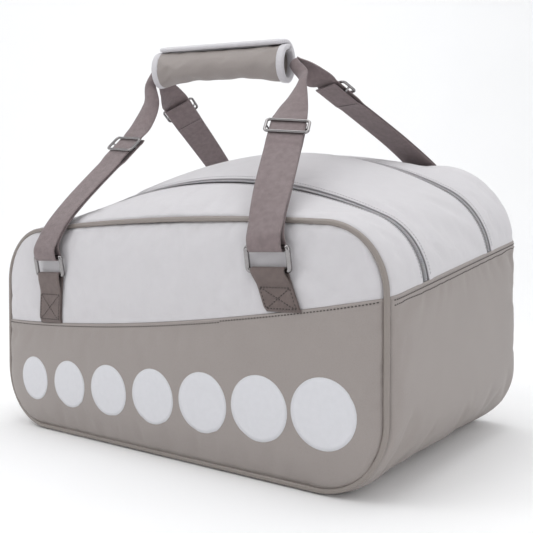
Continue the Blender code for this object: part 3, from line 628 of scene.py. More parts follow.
def woven_polyester():
    """600-denier polyester in a plain weave: dull, slightly fuzzy, with a fine crossed grain."""
    c = colours()
    mat, tree, shader = start_material("woven_polyester", Roughness=0.82, Sheen_Weight=0.25,
                                       Sheen_Roughness=0.5, IOR=1.46)
    # The real threads are 0.4 mm apart, which is too fine to show, so they are drawn at 0.9 mm.
    warp, weft = thread_bands(tree, 0.0009, "X"), thread_bands(tree, 0.0009, "Y")
    weave = add_node(tree, "ShaderNodeMath", TIMES, {0: warp, 1: weft}).outputs[0]
    pale = add_node(tree, "ShaderNodeMath", TIMES_PLUS, {0: weave, 1: 0.5, 2: 0.5}).outputs[0]
    patches = mottle(tree, 0.012, 0.75, 1.0)
    factor = add_node(tree, "ShaderNodeMath", TIMES, {0: patches, 1: pale}).outputs[0]
    soft = mottle(tree, 0.004, 0.0, 1.0)
    relief = add_node(tree, "ShaderNodeMath", PLUS, {0: weave, 1: soft}).outputs[0]
    finish_surface(tree, shader, c.fabric, c.fabric_shade, factor, relief, 0.00010)
    return mat


def coated_leather(name="coated_leather", grain=0.0011):
    """Polyurethane-coated synthetic leather, embossed and calendered: satin, with a fine pebble."""
    c = colours()
    mat, tree, shader = start_material(name, Roughness=0.46, IOR=1.50, Specular_IOR_Level=0.45)
    place = add_node(tree, "ShaderNodeTexCoord").outputs["Object"]
    # Its real pebble is about 0.5 mm and is drawn about twice as coarse.
    pebble = add_node(tree, "ShaderNodeTexVoronoi", {"feature": "DISTANCE_TO_EDGE"},
                      {"Vector": place, "Scale": 1 / grain}).outputs["Distance"]
    valley = add_node(tree, "ShaderNodeMapRange",
                      inputs={0: pebble, 1: 0.0, 2: 0.16, 3: 1.0, 4: 0.0}).outputs[0]
    patches = mottle(tree, 0.045, 0.0, 0.15)
    factor = add_node(tree, "ShaderNodeMath", TIMES_PLUS, {0: valley, 1: 0.35, 2: patches}).outputs[0]
    finish_surface(tree, shader, c.leather, c.leather_shade, factor, valley, -0.00006)
    return mat


def covered_cord():
    """The same coated leather drawn tight over a cord: smoother, so it shows a bright line."""
    c = colours()
    mat, tree, shader = start_material("covered_cord", Roughness=0.26, IOR=1.50,
                                       Specular_IOR_Level=0.5)
    patches = mottle(tree, 0.010, 0.0, 0.5)
    finish_surface(tree, shader, c.piping, c.leather_shade, patches, mottle(tree, 0.0013, 0.0, 1.0),
                   0.00008)
    return mat


def twill_webbing(name, crowns, shade):
    """Polypropylene webbing in a twill: matt, with slanting ribs across a 38 mm width."""
    mat, tree, shader = start_material(name, Roughness=0.72, Sheen_Weight=0.2, Sheen_Roughness=0.4,
                                       IOR=1.49)
    # The ribs are 0.8 mm apart on the real webbing and are drawn at 1.3 mm.
    ribs = thread_bands(tree, 0.0013, "DIAGONAL")
    threads = thread_bands(tree, 0.0009, "Y")
    soft = add_node(tree, "ShaderNodeMath", TIMES_PLUS, {0: threads, 1: 0.4, 2: 0.5}).outputs[0]
    relief = add_node(tree, "ShaderNodeMath", TIMES, {0: ribs, 1: soft}).outputs[0]
    factor = add_node(tree, "ShaderNodeMath", TIMES_PLUS,
                      {0: relief, 1: 0.7, 2: mottle(tree, 0.006, 0.0, 0.3)}).outputs[0]
    finish_surface(tree, shader, shade, crowns, factor, relief, 0.00022)
    return mat


def grosgrain_binding():
    """Grosgrain ribbon woven from polyester: silky, with ribs straight across it."""
    c = colours()
    mat, tree, shader = start_material("grosgrain_binding", Roughness=0.55, Sheen_Weight=0.3,
                                       IOR=1.46)
    # Its ribs are 0.7 mm apart and are drawn at 1.2 mm.
    ribs = thread_bands(tree, 0.0012, "X")
    patches = mottle(tree, 0.008, 0.4, 0.9)
    factor = add_node(tree, "ShaderNodeMath", TIMES, {0: ribs, 1: patches}).outputs[0]
    finish_surface(tree, shader, c.fabric_shade, c.binding, factor, ribs, 0.00016)
    return mat


def herringbone_tape():
    """Zip tape woven from polyester in a herringbone: dull and darker than the coil."""
    c = colours()
    mat, tree, shader = start_material("herringbone_tape", Roughness=0.80, Sheen_Weight=0.15)
    place = add_node(tree, "ShaderNodeTexCoord").outputs["UV"]
    parts = add_node(tree, "ShaderNodeSeparateXYZ", inputs={0: place})
    folded = add_node(tree, "ShaderNodeMath", {"operation": "PINGPONG"},
                      {0: parts.outputs["Y"], 1: 0.0021}).outputs[0]
    slanted = add_node(tree, "ShaderNodeCombineXYZ", inputs={0: parts.outputs["X"], 1: folded})
    ribs = add_node(tree, "ShaderNodeTexWave", {"bands_direction": "DIAGONAL"},
                    {"Vector": slanted.outputs[0], "Scale": 2 * WAVE / 0.0012}).outputs["Fac"]
    finish_surface(tree, shader, [v * 0.62 for v in c.tape], c.tape, ribs, ribs, 0.00012)
    return mat


def nylon_coil():
    """Drawn nylon filament wound into a coil: slightly glossy and a little see-through."""
    c = colours()
    mat, tree, shader = start_material("nylon_coil", Roughness=0.38, IOR=1.53,
                                       Subsurface_Weight=0.08, Subsurface_Scale=0.001)
    finish_surface(tree, shader, c.coil, [v * 0.72 for v in c.coil], mottle(tree, 0.003, 0.0, 0.8),
                   mottle(tree, 0.0006, 0.0, 1.0), 0.00003)
    return mat


def nickel_plate():
    """Tumbled and nickel-plated zinc: bright highlights, faint ripples and hairline scratches, on a
    colour darker than real nickel that is painted shade standing in for the darker surroundings it
    would reflect.
    """
    c = colours()
    mat, tree, shader = start_material("nickel_plate", Metallic=1.0)
    place = add_node(tree, "ShaderNodeTexCoord").outputs["Object"]
    hairs = add_node(tree, "ShaderNodeTexNoise",
                     inputs={"Vector": place, "Scale": 900.0, "Detail": 4.0, "Distortion": 1.5})
    worn = add_node(tree, "ShaderNodeMapRange", inputs={0: hairs.outputs["Fac"], 3: 0.07, 4: 0.20})
    tree.links.new(worn.outputs[0], shader.inputs["Roughness"])
    # The plate's colour is kept dark as painted shade in its reflection, with random patches a little
    # darker still.
    finish_surface(tree, shader, c.nickel, [v * 0.80 for v in c.nickel], mottle(tree, 0.004, 0.0, 0.7),
                   hairs.outputs["Fac"], 0.00002, 0.5)
    return mat


def sewing_thread(name, colour):
    """Bonded polyester thread, two plies twisted: a small rope that catches a soft light."""
    mat, tree, shader = start_material(name, Roughness=0.60, Sheen_Weight=0.2)
    place = add_node(tree, "ShaderNodeTexCoord").outputs["Object"]
    plies = add_node(tree, "ShaderNodeTexWave", {"bands_direction": "DIAGONAL"},
                     {"Vector": place, "Scale": 2 * WAVE / 0.0009}).outputs["Fac"]
    finish_surface(tree, shader, [v * 0.75 for v in colour], colour, plies, plies, 0.00008)
    return mat


def screen_print():
    """Plastisol screen print, cured on the leather: a matt film that keeps a little of its grain."""
    c = colours()
    mat, tree, shader = start_material("screen_print", Roughness=0.58, IOR=1.52)
    finish_surface(tree, shader, c.ink, [v * 0.97 for v in c.ink], mottle(tree, 0.005, 0.0, 1.0),
                   mottle(tree, 0.0011, 0.0, 1.0), 0.00004)
    return mat


def moulded_polyethylene():
    """Extruded polyethylene sheet, sawn to size: waxy and grey, with a pebbled roller texture."""
    mat, tree, shader = start_material("moulded_polyethylene", Roughness=0.50, IOR=1.51)
    grey = linear("#5A5A5C")
    finish_surface(tree, shader, grey, [v * 0.8 for v in grey], mottle(tree, 0.02, 0.0, 1.0),
                   mottle(tree, 0.0015, 0.0, 1.0), 0.0001)
    return mat


def brushed_lining():
    """Warp-knitted polyester, brushed: a grey lining with a soft nap over its foam."""
    mat, tree, shader = start_material("brushed_lining", Roughness=0.90, Sheen_Weight=0.5)
    grey = linear("#A8A6AA")
    finish_surface(tree, shader, grey, [v * 0.85 for v in grey], mottle(tree, 0.003, 0.0, 1.0),
                   mottle(tree, 0.0009, 0.0, 1.0), 0.0002)
    return mat


def hook_and_loop():
    """Nylon hook-and-loop strip, woven and napped: rough and grey, with no gloss."""
    mat, tree, shader = start_material("hook_and_loop", Roughness=0.95, Sheen_Weight=0.3)
    grey = linear("#9B999B")
    place = add_node(tree, "ShaderNodeTexCoord").outputs["Object"]
    loops = add_node(tree, "ShaderNodeTexVoronoi",
                     inputs={"Vector": place, "Scale": 1000.0}).outputs["Distance"]
    finish_surface(tree, shader, grey, [v * 0.6 for v in grey], loops, loops, 0.0004)
    return mat


def painted_floor():
    """Matt emulsion on a smooth backdrop: pale and even, with hardly any texture."""
    c = colours()
    mat, tree, shader = start_material("painted_floor", Roughness=0.85, Specular_IOR_Level=0.2)
    finish_surface(tree, shader, c.floor, [v * 0.985 for v in c.floor], mottle(tree, 0.3, 0.0, 1.0))
    return mat


def black_felt():
    """Pressed wool felt on the flags: black and matt, and seen only as dark lines in the metal."""
    mat, tree, shader = start_material("black_felt", Roughness=0.95, Sheen_Weight=0.1)
    black = linear("#1A1A1A")
    finish_surface(tree, shader, black, [v * 0.7 for v in black], mottle(tree, 0.01, 0.0, 1.0))
    return mat


MATERIALS = {}


def make_materials():
    """Make each finish once."""
    c = colours()
    MATERIALS.update(
        fabric=woven_polyester(), leather=coated_leather(),
        grip_leather=coated_leather("coated_leather_grip", 0.0009), piping=covered_cord(),
        webbing=twill_webbing("twill_webbing", c.webbing, c.webbing_shade),
        tab=twill_webbing("twill_tab_webbing", c.tab, c.tab_shade), binding=grosgrain_binding(),
        tape=herringbone_tape(), coil=nylon_coil(), nickel=nickel_plate(),
        thread=sewing_thread("sewing_thread", c.thread),
        thread_light=sewing_thread("sewing_thread_light", c.thread_light),
        thread_pale=sewing_thread("sewing_thread_pale", c.fabric_shade), ink=screen_print(),
        board=moulded_polyethylene(), lining=brushed_lining(), fastener=hook_and_loop(),
        floor=painted_floor(), flag=black_felt())


# ---------------------------------------------------------------- sewing
def surface_of(names):
    """The outer skins of some pieces, to sew or print on."""
    return [BVHTree.FromObject(bpy.data.objects[n], bpy.context.evaluated_depsgraph_get())
            for n in names]


def land(trees, point, outward):
    """Where a point meets the nearest outward-facing skin, and the skin's direction there."""
    best = None
    for tree in trees:
        spot, normal, _, distance = tree.find_nearest(point + outward * 0.003)
        if spot and (best is None or distance < best[2]):
            best = (spot, normal if normal.dot(outward) > 0 else outward, distance)
    return best[0], best[1]


def stitch_row(name, lines, trees, outward, mat, body="root"):
    """Stitches along lines; outward is a function from a point to the rough way out."""
    s = sizes()
    verts, faces = [], []
    profile = ((0.0, 0.45), (0.18, 0.95), (0.5, 1.1), (0.82, 0.95), (1.0, 0.45))
    for line in lines:
        count = max(1, round(line_length(line) / s.stitch_apart))
        places = resample(line, count * 2)
        for k in range(count):
            middle = places[2 * k + 1]
            along = (places[2 * k + 2] - places[2 * k]).normalized()
            spot, normal = land(trees, middle, outward(middle))
            side = along.cross(normal).normalized()
            along = normal.cross(side).normalized()
            base = len(verts)
            for share, girth in profile:
                sink = 0.3 - 0.75 * abs(2 * share - 1) ** 2
                centre = spot + along * (s.stitch * (share - 0.5)) + normal * (s.thread_r * sink)
                verts += circle(centre, side, normal, s.thread_r * girth, THREAD_SIDES)
            skin_rings(faces, base, len(profile), THREAD_SIDES)
    mesh = mesh_from(name, verts, faces)
    facing = mesh.polygons[0]
    first = verts[:len(profile) * THREAD_SIDES]
    middle = sum(first, Vector()) / len(first)
    if facing.normal.dot(facing.center - middle) < 0:
        mesh.flip_normals()
    new_object(name, mesh, MATERIALS[mat], body)


# ---------------------------------------------------------------- the arched top
def over_top(depth, lift, pieces, below_hem):
    """Points over the arch from below the right hem to below the left hem."""
    section = Section(depth, -lift)
    right = section.half_top(hem_height(1, depth) - below_hem)
    left = section.half_top(hem_height(-1, depth) - below_hem)
    outline = right + [(-x, z) for x, z in reversed(left[:-1])]
    return [at_depth(p.x, depth, p.y) for p in resample([(x, z, 0.0) for x, z in outline], pieces)]


def gusset(word, start, end, zip_before, zip_after):
    """A strip of the arched top, its edges folded and stitched beside the zips."""
    rows = steps_between(start, end, zip_before, zip_after)
    grid = []
    for depth in rows:
        lift = 0.0
        if zip_before:
            lift += fold(depth - start)
        if zip_after:
            lift += fold(end - depth)
        if zip_before and zip_after:
            lift -= sizes().hem_rise * 0.45
        grid.append(over_top(depth, lift, GUSSET_STEPS, 0.004))
    name = "cover_gusset_" + word
    mesh = grid_mesh(name, grid, INSIDE)
    obj = new_object(name, mesh, MATERIALS["fabric"])
    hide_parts("gusset_" + word)
    cols = GUSSET_STEPS + 1
    held = edge_vertices(len(rows), cols)
    for r, depth in enumerate(rows):
        near_edge = (zip_before and depth - start < 0.006) or (zip_after and end - depth < 0.006)
        for c in range(cols):
            if near_edge or min(c, cols - 1 - c) < 3:
                held.add(r * cols + c)
    return obj, held


# ---------------------------------------------------------------- end panels
def patch(bottom, right, top, left):
    """Rows of (x, z) points filling four border lines; bottom and top run the same way."""
    rows, cols = len(left), len(bottom)
    grid = []
    for r in range(rows):
        v = (left[r] - left[0]).length / (left[-1] - left[0]).length
        row = []
        for c in range(cols):
            u = c / (cols - 1)
            ends = left[r] * (1 - u) + right[r] * u
            across = bottom[c] * (1 - v) + top[c] * v
            corners = ((bottom[0] * (1 - u) + bottom[-1] * u) * (1 - v)
                       + (top[0] * (1 - u) + top[-1] * u) * v)
            row.append(ends + across - corners)
        grid.append(row)
    return grid


# Soft folds where the rings pull on the upper panel: both ends (x, z), height and half width.
CREASES = (((0.172, 0.204), (0.232, 0.168), -0.0016, 0.0060),
           ((0.170, 0.190), (0.215, 0.160), 0.0012, 0.0070),
           ((0.120, 0.190), (0.060, 0.172), -0.0008, 0.0080),
           ((-0.138, 0.180), (-0.085, 0.158), -0.0009, 0.0080),
           ((0.172, 0.214), (0.226, 0.206), -0.0010, 0.0060))


def crease(x, z, start, end, height, half_width):
    """Rise of one soft fold at a point of an end panel, fading towards both its ends."""
    start, end = Vector(start), Vector(end)
    run = end - start
    share = (Vector((x, z)) - start).dot(run) / run.length_squared
    if not 0.0 < share < 1.0:
        return 0.0
    off = (Vector((x, z)) - start - run * share).length
    return height * math.sin(math.pi * share) * math.exp(-(off / half_width) ** 2)


def end_cover(face, part):
    """The upper or lower part of the front (face -1) or back (face +1) panel."""
    word = "front" if face < 0 else "back"
    seam = seam_height if face < 0 else back_seam_height
    edge_depth = 0.0 if face < 0 else DEPTH
    section = Section(edge_depth, 0.0012 if face < 0 else 0.0006)
    top = section.top
    cols = round(LENGTH / CLOTH_STEP)
    seam_line = resample([(x, 0.0, seam(x)) for x in spaced(section.half, 40)], cols)
    if part == "lower":
        turn = section.corner * (1 - math.cos(math.pi / 4))
        x_end, z_end = section.half - turn, section.base + turn
        low = resample([(x, 0.0, section.foot_height(x)) for x in spaced(x_end, 60)], cols)
        high = seam_line
    else:
        turn = section.shoulder * (1 - math.cos(math.pi / 4))
        x_end = section.half - turn
        z_end = section.spring_z + section.shoulder * math.sin(math.pi / 4)
        low = seam_line
        high = resample([(x, 0.0, section.crown_height(x)) for x in spaced(x_end, 60)], cols)
    sides = []
    spans = steps_between(0.0, 0.130, part == "upper", part == "lower")
    for sign in (-1, 1):
        z_seam = seam(sign * section.half)
        z_from, z_to = (z_end, z_seam) if part == "lower" else (z_seam, z_end)
        run = z_to - z_from
        heights = [z_from + run * d / spans[-1] for d in spans]
        sides.append([Vector((sign * section.half_width(z), 0.0, z)) for z in heights])
    rim = KDTree(RIM_POINTS)
    for k, p in enumerate(front_rim(RIM_POINTS)):
        rim.insert((p.x, 0.0, p.z), k)
    rim.balance()
    grid = []
    for row in patch(low, sides[1], high, sides[0]):
        line = []
        for p in row:
            if part == "lower":
                proud = sizes().leather_rise * 0.5 + fold(abs(seam(p.x) - p.z))
            else:
                proud = sum(crease(p.x, p.z, *place) for place in CREASES)
            if face < 0:
                beside = rim.find((p.x, 0.0, p.z))[2]
                proud -= CORD_GROOVE * math.exp(-(beside / CORD_GROOVE_RUN) ** 2)
            out = bulge(p.x, p.z, top) + proud
            line.append(at_depth(p.x, edge_depth + face * out, p.z))
        grid.append(line)
    name = f"cover_{word}_{part}"
    key, slot = ("leather", "taupe_leather") if part == "lower" else ("fabric", "pale_fabric")
    mesh = grid_mesh(name, grid, INSIDE)
    obj = new_object(name, mesh, MATERIALS[key])
    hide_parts(f"{word}_panel_{part}")
    held = edge_vertices(len(grid), cols + 1)
    for r, row in enumerate(grid):
        for c, p in enumerate(row):
            if abs(seam(p.x) - p.z) < 0.007 or under_a_tab(face, p):
                held.add(r * (cols + 1) + c)
    return obj, held


def under_a_tab(face, point):
    """Whether a point of an end panel lies behind an anchor tab, where it is sewn flat."""
    for leg in LEGS:
        if leg.face == face and leg.foot_z - 0.004 < point.z < leg.ring_z + 0.002:
            share = (point.z - leg.foot_z) / (leg.ring_z - leg.foot_z)
            middle = leg.side * TAB_SPREAD + (leg.ring_x - leg.side * TAB_SPREAD) * share
            if abs(point.x - middle) < WEB_W * 0.62:
                return True
    return False


# ---------------------------------------------------------------- sides, base and piping
def side_cover(side):
    """The leather side: from the underside round the lower corner up to its folded hem."""
    word = "right" if side > 0 else "left"
    rows = [FRONT_EDGE] + steps_between(TUCK_RUN * 0.4, BACK_EDGE)
    lengths = steps_between(0.0, SIDE_UP, False, True)
    fine_steps, near_hem = 400, 0.02
    grid = []
    for depth in rows:
        section = Section(depth)
        outline = section.half_bottom(BASE_HALF, hem_height(side, depth))
        fine = resample([(x, z, 0.0) for x, z in outline], fine_steps)
        total = line_length(fine)
        line = []
        for d in lengths:
            share = d / lengths[-1]
            from_hem = (1 - share) * lengths[-1]
            if from_hem < near_hem:
                at = fine_steps * (1 - from_hem / total)
            else:
                at = fine_steps * (share / (1 - near_hem / lengths[-1])) * (1 - near_hem / total)
            k = min(int(at), fine_steps - 1)
            p = fine[k].lerp(fine[k + 1], at - k)
            ahead = (fine[min(k + 2, fine_steps)] - fine[max(k - 1, 0)]).normalized()
            out = Vector((ahead.y, -ahead.x, 0.0))
            lift = ease(0.0, 1.0, share * 4) * (sizes().leather_rise * 0.5 + fold(from_hem))
            p = p + out * lift
            line.append(at_depth(side * p.x, depth, p.y))
        grid.append(line)
    name = "cover_side_" + word
    mesh = grid_mesh(name, grid, INSIDE)
    obj = new_object(name, mesh, MATERIALS["leather"])
    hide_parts("side_panel_" + word)
    cols = len(lengths)
    held = edge_vertices(len(rows), cols)
    for r in range(len(rows)):
        for c, d in enumerate(lengths):
            if lengths[-1] - d < 0.010 or d < 0.030:
                held.add(r * cols + c)
    return obj, held


def base_cover():
    """The flat leather base that the bag stands on."""
    rows = steps_between(FRONT_EDGE, BACK_EDGE)
    grid = [[at_depth(x, d, Section(d).base) for x in spaced(BASE_HALF, 30)] for d in rows]
    mesh = grid_mesh("cover_base", grid, INSIDE)
    obj = new_object("cover_base", mesh, MATERIALS["leather"])
    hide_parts("bottom_panel")
    return obj


def front_rim(pieces):
    """The closed front outline, anticlockwise from the middle of the underside."""
    section = Section(0.0)
    right = section.half_bottom(0.0, section.spring_z) + section.half_top(section.spring_z)[1:]
    loop = right + [(-x, z) for x, z in reversed(right[1:-1])] + [right[0]]
    return [at_depth(p.x, 0.0, p.y) for p in resample([(x, z, 0.0) for x, z in loop], pieces)[:-1]]


def piping():
    """Covered cord round the front panel, its ends lapped on the underside."""
    path = front_rim(RIM_POINTS)
    stations = loop_stations(path, Vector((0, 1, 0)), CORD_R)
    lap_from, lap_to = -0.150, -0.128
    for k, (point, station) in enumerate(zip(path, stations)):
        waver = 1 + 0.035 * noise.noise(point * 60)
        lapped = point.z < 0.02 and lap_from < point.x < lap_to
        girth = waver * (1.10 if lapped else 1.0)
        stations[k] = [point + (p - point) * girth for p in station]
    obj = new_object("cover_piping", tube_mesh("cover_piping", stations, closed=True),
                     MATERIALS["piping"])
    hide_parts("front_piping")


# ---------------------------------------------------------------- generic print
def disc(name, middle, radius, trees, face_out):
    """A plain printed disc that follows the panel; face_out is the panel's way out."""
    rings, around = 8, 56
    up = Vector((0, 0, 1))
    across = up.cross(face_out).normalized()
    verts, faces = [], []
    spot, normal = land(trees, middle, face_out)
    verts.append(spot + normal * PRINT_LIFT)
    for r in range(1, rings + 1):
        for k in range(around):
            a = 2 * math.pi * k / around
            reach = radius * r / rings
            place = middle + across * (reach * math.cos(a)) + up * (reach * math.sin(a))
            spot, normal = land(trees, place, face_out)
            verts.append(spot + normal * PRINT_LIFT)
    for k in range(around):
        faces.append((0, 1 + k, 1 + (k + 1) % around))
    for r in range(rings - 1):
        for k in range(around):
            a, b = 1 + r * around + k, 1 + r * around + (k + 1) % around
            faces.append((a, a + around, b + around, b))
    mesh = mesh_from(name, verts, faces)
    if sum(f.normal.dot(face_out) for f in mesh.polygons) < 0:
        mesh.flip_normals()
    obj = new_object(name, mesh, MATERIALS["ink"])
    give_thickness(obj, PRINT_T)


# ---------------------------------------------------------------- zips
def zip_tape(word, depth, side_word):
    """One tape of a zip, running on under the gusset's folded edge."""
    near, far = COIL_HALF * 0.55, COIL_HALF + TAPE_W + 0.002
    sign = 1 if side_word == "back" else -1
    offsets = [near + (far - near) * k / 5 for k in range(6)]
    grid = [over_top(depth + sign * d, -0.0011, TAPE_STEPS, 0.003) for d in offsets]
    name = f"cover_{word}_tape_{side_word}"
    obj = new_object(name, grid_mesh(name, grid, INSIDE), MATERIALS["tape"])
    give_thickness(obj, TAPE_T)
    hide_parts(f"{word}_zip_tape_{side_word}")


def zip_teeth(word, depth):
    """The closed coil: a turn every tooth spacing, each a small bent bar over the two tapes."""
    section = over_top(depth, 0.0, 400, 0.003)
    count = round(line_length(section) / sizes().tooth_apart)
    path = resample(section, count)
    verts, faces = [], []
    across = Vector((0, 1, 0))
    shape = ((-1.0, -0.7), (-0.9, 0.35), (-0.35, 0.6), (0.0, 0.15), (0.35, 0.6), (0.9, 0.35),
             (1.0, -0.7))
    wire_r, hump, sink, lean = 0.00062, 0.0009, 0.0004, 0.0007
    for k in range(count + 1):
        along = (path[min(k + 1, count)] - path[max(k - 1, 0)]).normalized()
        up = across.cross(along)
        if up.dot(path[k] - Vector((0, path[k].y, 0.12))) < 0:
            up = -up
        base = len(verts)
        for share, height in shape:
            centre = path[k] + across * (share * COIL_HALF) + up * (height * hump - sink)
            centre += along * (lean * (1 - abs(share)))
            verts += circle(centre, along, up, wire_r, THREAD_SIDES)
        skin_rings(faces, base, len(shape), THREAD_SIDES)
    name = f"cover_{word}_coil"
    mesh = mesh_from(name, verts, faces)
    face_outward(mesh)
    obj = new_object(name, mesh, MATERIALS["coil"])
    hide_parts(word + "_zip_coil")


# ---------------------------------------------------------------- webbing
def at_ring_offset():
    """Middle of the strap's loop to the middle of its webbing."""
    return RING_WIRE_R + RING_SLACK + WEB_T / 2


def at_glide_offset():
    """Middle of the glide's middle bar to the middle of the webbing over it."""
    return GLIDE_WIRE_R + GAP + WEB_T / 2


def glide_reach(travel):
    """Length of strap that the glide covers on one side of its middle over its travel."""
    return GLIDE_PITCH / 2 + travel + GLIDE_WIRE_R


class Leg:
    """One of the four strap legs, from its ring to the grip's mouth."""

    def __init__(self, name, face, side, ring_place, foot_z, rim_x, glide_width, route):
        self.name = name
        self.face = face                    # -1 front, +1 back
        self.side = side                    # -1 left, +1 right
        self.ring_x, self.ring_z = ring_place
        self.foot_z = foot_z
        self.rim_x = rim_x
        self.glide_width = Vector(glide_width).normalized()
        self.route = route                  # glide middle and the points after it, y from the front

    def wall(self, z):
        """Depth of the panel's outer face behind the strap at a height."""
        edge = 0.0 if self.face < 0 else DEPTH
        inset = (PIPING_R if self.face < 0 else SHELL_T) + PANEL_CLEAR
        return edge + self.face * bulge(TAB_SPREAD - WEB_W * 0.75, z, Section(edge, inset).top)

    def lower_bar(self):
        """Middle of the ring's lower bar, held in the tab's fold."""
        stand = GAP + WEB_T + FOLD_PLAY + RING_WIRE_R
        return at_depth(self.ring_x, self.wall(self.ring_z) + self.face * stand, self.ring_z)

    def upper_bar(self):
        rise = math.sqrt(RING_PITCH ** 2 - RING_LEAN ** 2)
        return self.lower_bar() + Vector((0, self.face * RING_LEAN, rise))

    def rim(self):
        """The panel's top edge where the strap crosses it."""
        edge = 0.0 if self.face < 0 else DEPTH
        section = Section(edge)
        z = section.crown_z + math.sqrt(section.crown_r ** 2 - self.rim_x ** 2)
        stand = PIPING_R + 2 * WEB_T + LAYER_GAP + RIM_CLEAR
        return at_depth(self.rim_x, edge + self.face * stand, z)

    def centre_line(self):
        """Control points between the two layers, from the ring to the grip's mouth."""
        glide_middle = at_depth(*self.route[0])
        rim = self.rim()
        over = rim.lerp(glide_middle, 0.26) + Vector((0, 0, 0.004))
        along = (glide_middle - over).normalized()
        bar = self.upper_bar()
        above = bar + (bar - self.lower_bar()).normalized() * (2.4 * at_ring_offset())
        near, far = glide_reach(GLIDE_TRAVEL) + 0.001, glide_reach(GLIDE_TRAVEL) + 0.008
        rise = glide_reach(GLIDE_RISE) + 0.001
        points = [bar, above, rim, over, glide_middle - along * far, glide_middle - along * near,
                  glide_middle, glide_middle + along * (rise / 2), glide_middle + along * rise]
        return points + [at_depth(*p) for p in self.route[1:]]

    def frames(self):
        """Smooth centre line with its travel, width and outward directions."""
        points = self.centre_line()
        flat = Vector((-self.face, 0, 0))
        turned = self.glide_width
        upright = Vector((0, 0, math.copysign(1, turned.z)))
        hints = [flat, flat, flat, flat.lerp(turned, 0.5)] + [turned] * 5
        turning = len(points) - len(hints)
        for k in range(turning):
            hints.append(turned.lerp(upright, ((k + 1) / turning) ** 0.6).normalized())
        curve = spline(points, SPAN_STEPS)
        widths = []
        for here, there in zip(hints, hints[1:]):
            widths += [here.lerp(there, step / SPAN_STEPS) for step in range(SPAN_STEPS)]
        widths.append(hints[-1])
        result = []
        gone = 0.0
        for k, point in enumerate(curve):
            gone += (point - curve[max(k - 1, 0)]).length
            along = (curve[min(k + 1, len(curve) - 1)] - curve[max(k - 1, 0)]).normalized()
            square = ease(0.0, 1.0, gone / SQUARE_AFTER)
            width = (widths[k] - along * (widths[k].dot(along) * square)).normalized()
            result.append((point, along, width, width.cross(along).normalized()))
        return result


LEGS = [
    Leg("front_left", -1, -1, (-0.162, 0.186), 0.134, -0.157, (0.95, -0.18, -0.25),
        [(-0.135, 0.080, 0.344), (-0.1245, 0.110, 0.402), (-0.1290, 0.1140, 0.428),
         (-0.1195, 0.1165, 0.4440)]),
    Leg("front_right", -1, 1, (0.149, 0.196), 0.163, 0.145, (0.85, 0.53, 0.0),
        [(0.107, 0.080, 0.340), (0.090, 0.122, 0.392), (0.083, 0.1420, 0.415),
         (0.0690, 0.1445, 0.4310)]),
    Leg("back_left", 1, -1, (-0.188, 0.276), 0.190, -0.190, (-0.80, -0.36, -0.48),
        [(-0.152, 0.200, 0.409), (-0.139, 0.154, 0.431), (-0.1340, 0.138, 0.439),
         (-0.1195, 0.1245, 0.4450)]),
    Leg("back_right", 1, 1, (0.148, 0.276), 0.222, 0.140, (-0.88, 0.44, -0.02),
        [(0.097, 0.196, 0.402), (0.080, 0.160, 0.425), (0.0690, 0.1520, 0.4316)]),
]

SELVEDGE = 0.965             # share of the half width where the webbing's rounded edge starts
WEB_PROFILE = ([(SELVEDGE * (1 - k / 6), 1.0) for k in range(13)] + [(-1.0, 0.0)]
               + [(SELVEDGE * (k / 6 - 1), -1.0) for k in range(13)] + [(1.0, 0.0)])


def web_section(point, width, normal, half_w, half_t, curl=0.0):
    """Section of webbing with rounded selvedges; curl is the angle through which it rolls."""
    points = []
    for across, through in WEB_PROFILE:
        if curl < 0.02:
            points.append(point + width * (across * half_w) + normal * (through * half_t))
            continue
        turn = across * curl / 2
        radius = 2 * half_w / curl
        out = normal * math.cos(turn) + width * math.sin(turn)
        points.append(point - normal * radius + out * (radius + through * half_t))
    return points


def spread_of(glide_at):
    """Half the distance between the strap's two layers, as a function of length along it."""
    at_ring, at_glide = at_ring_offset(), at_glide_offset()
    closed = (WEB_T + LAYER_GAP) / 2

    def spread(s):
        near_ring = ease(at_ring, closed, s / 0.022)
        before = ease(closed, at_glide, (s - (glide_at - glide_reach(GLIDE_TRAVEL) - 0.014)) / 0.013)
        return max(near_ring, before) if s < glide_at else at_glide

    return spread


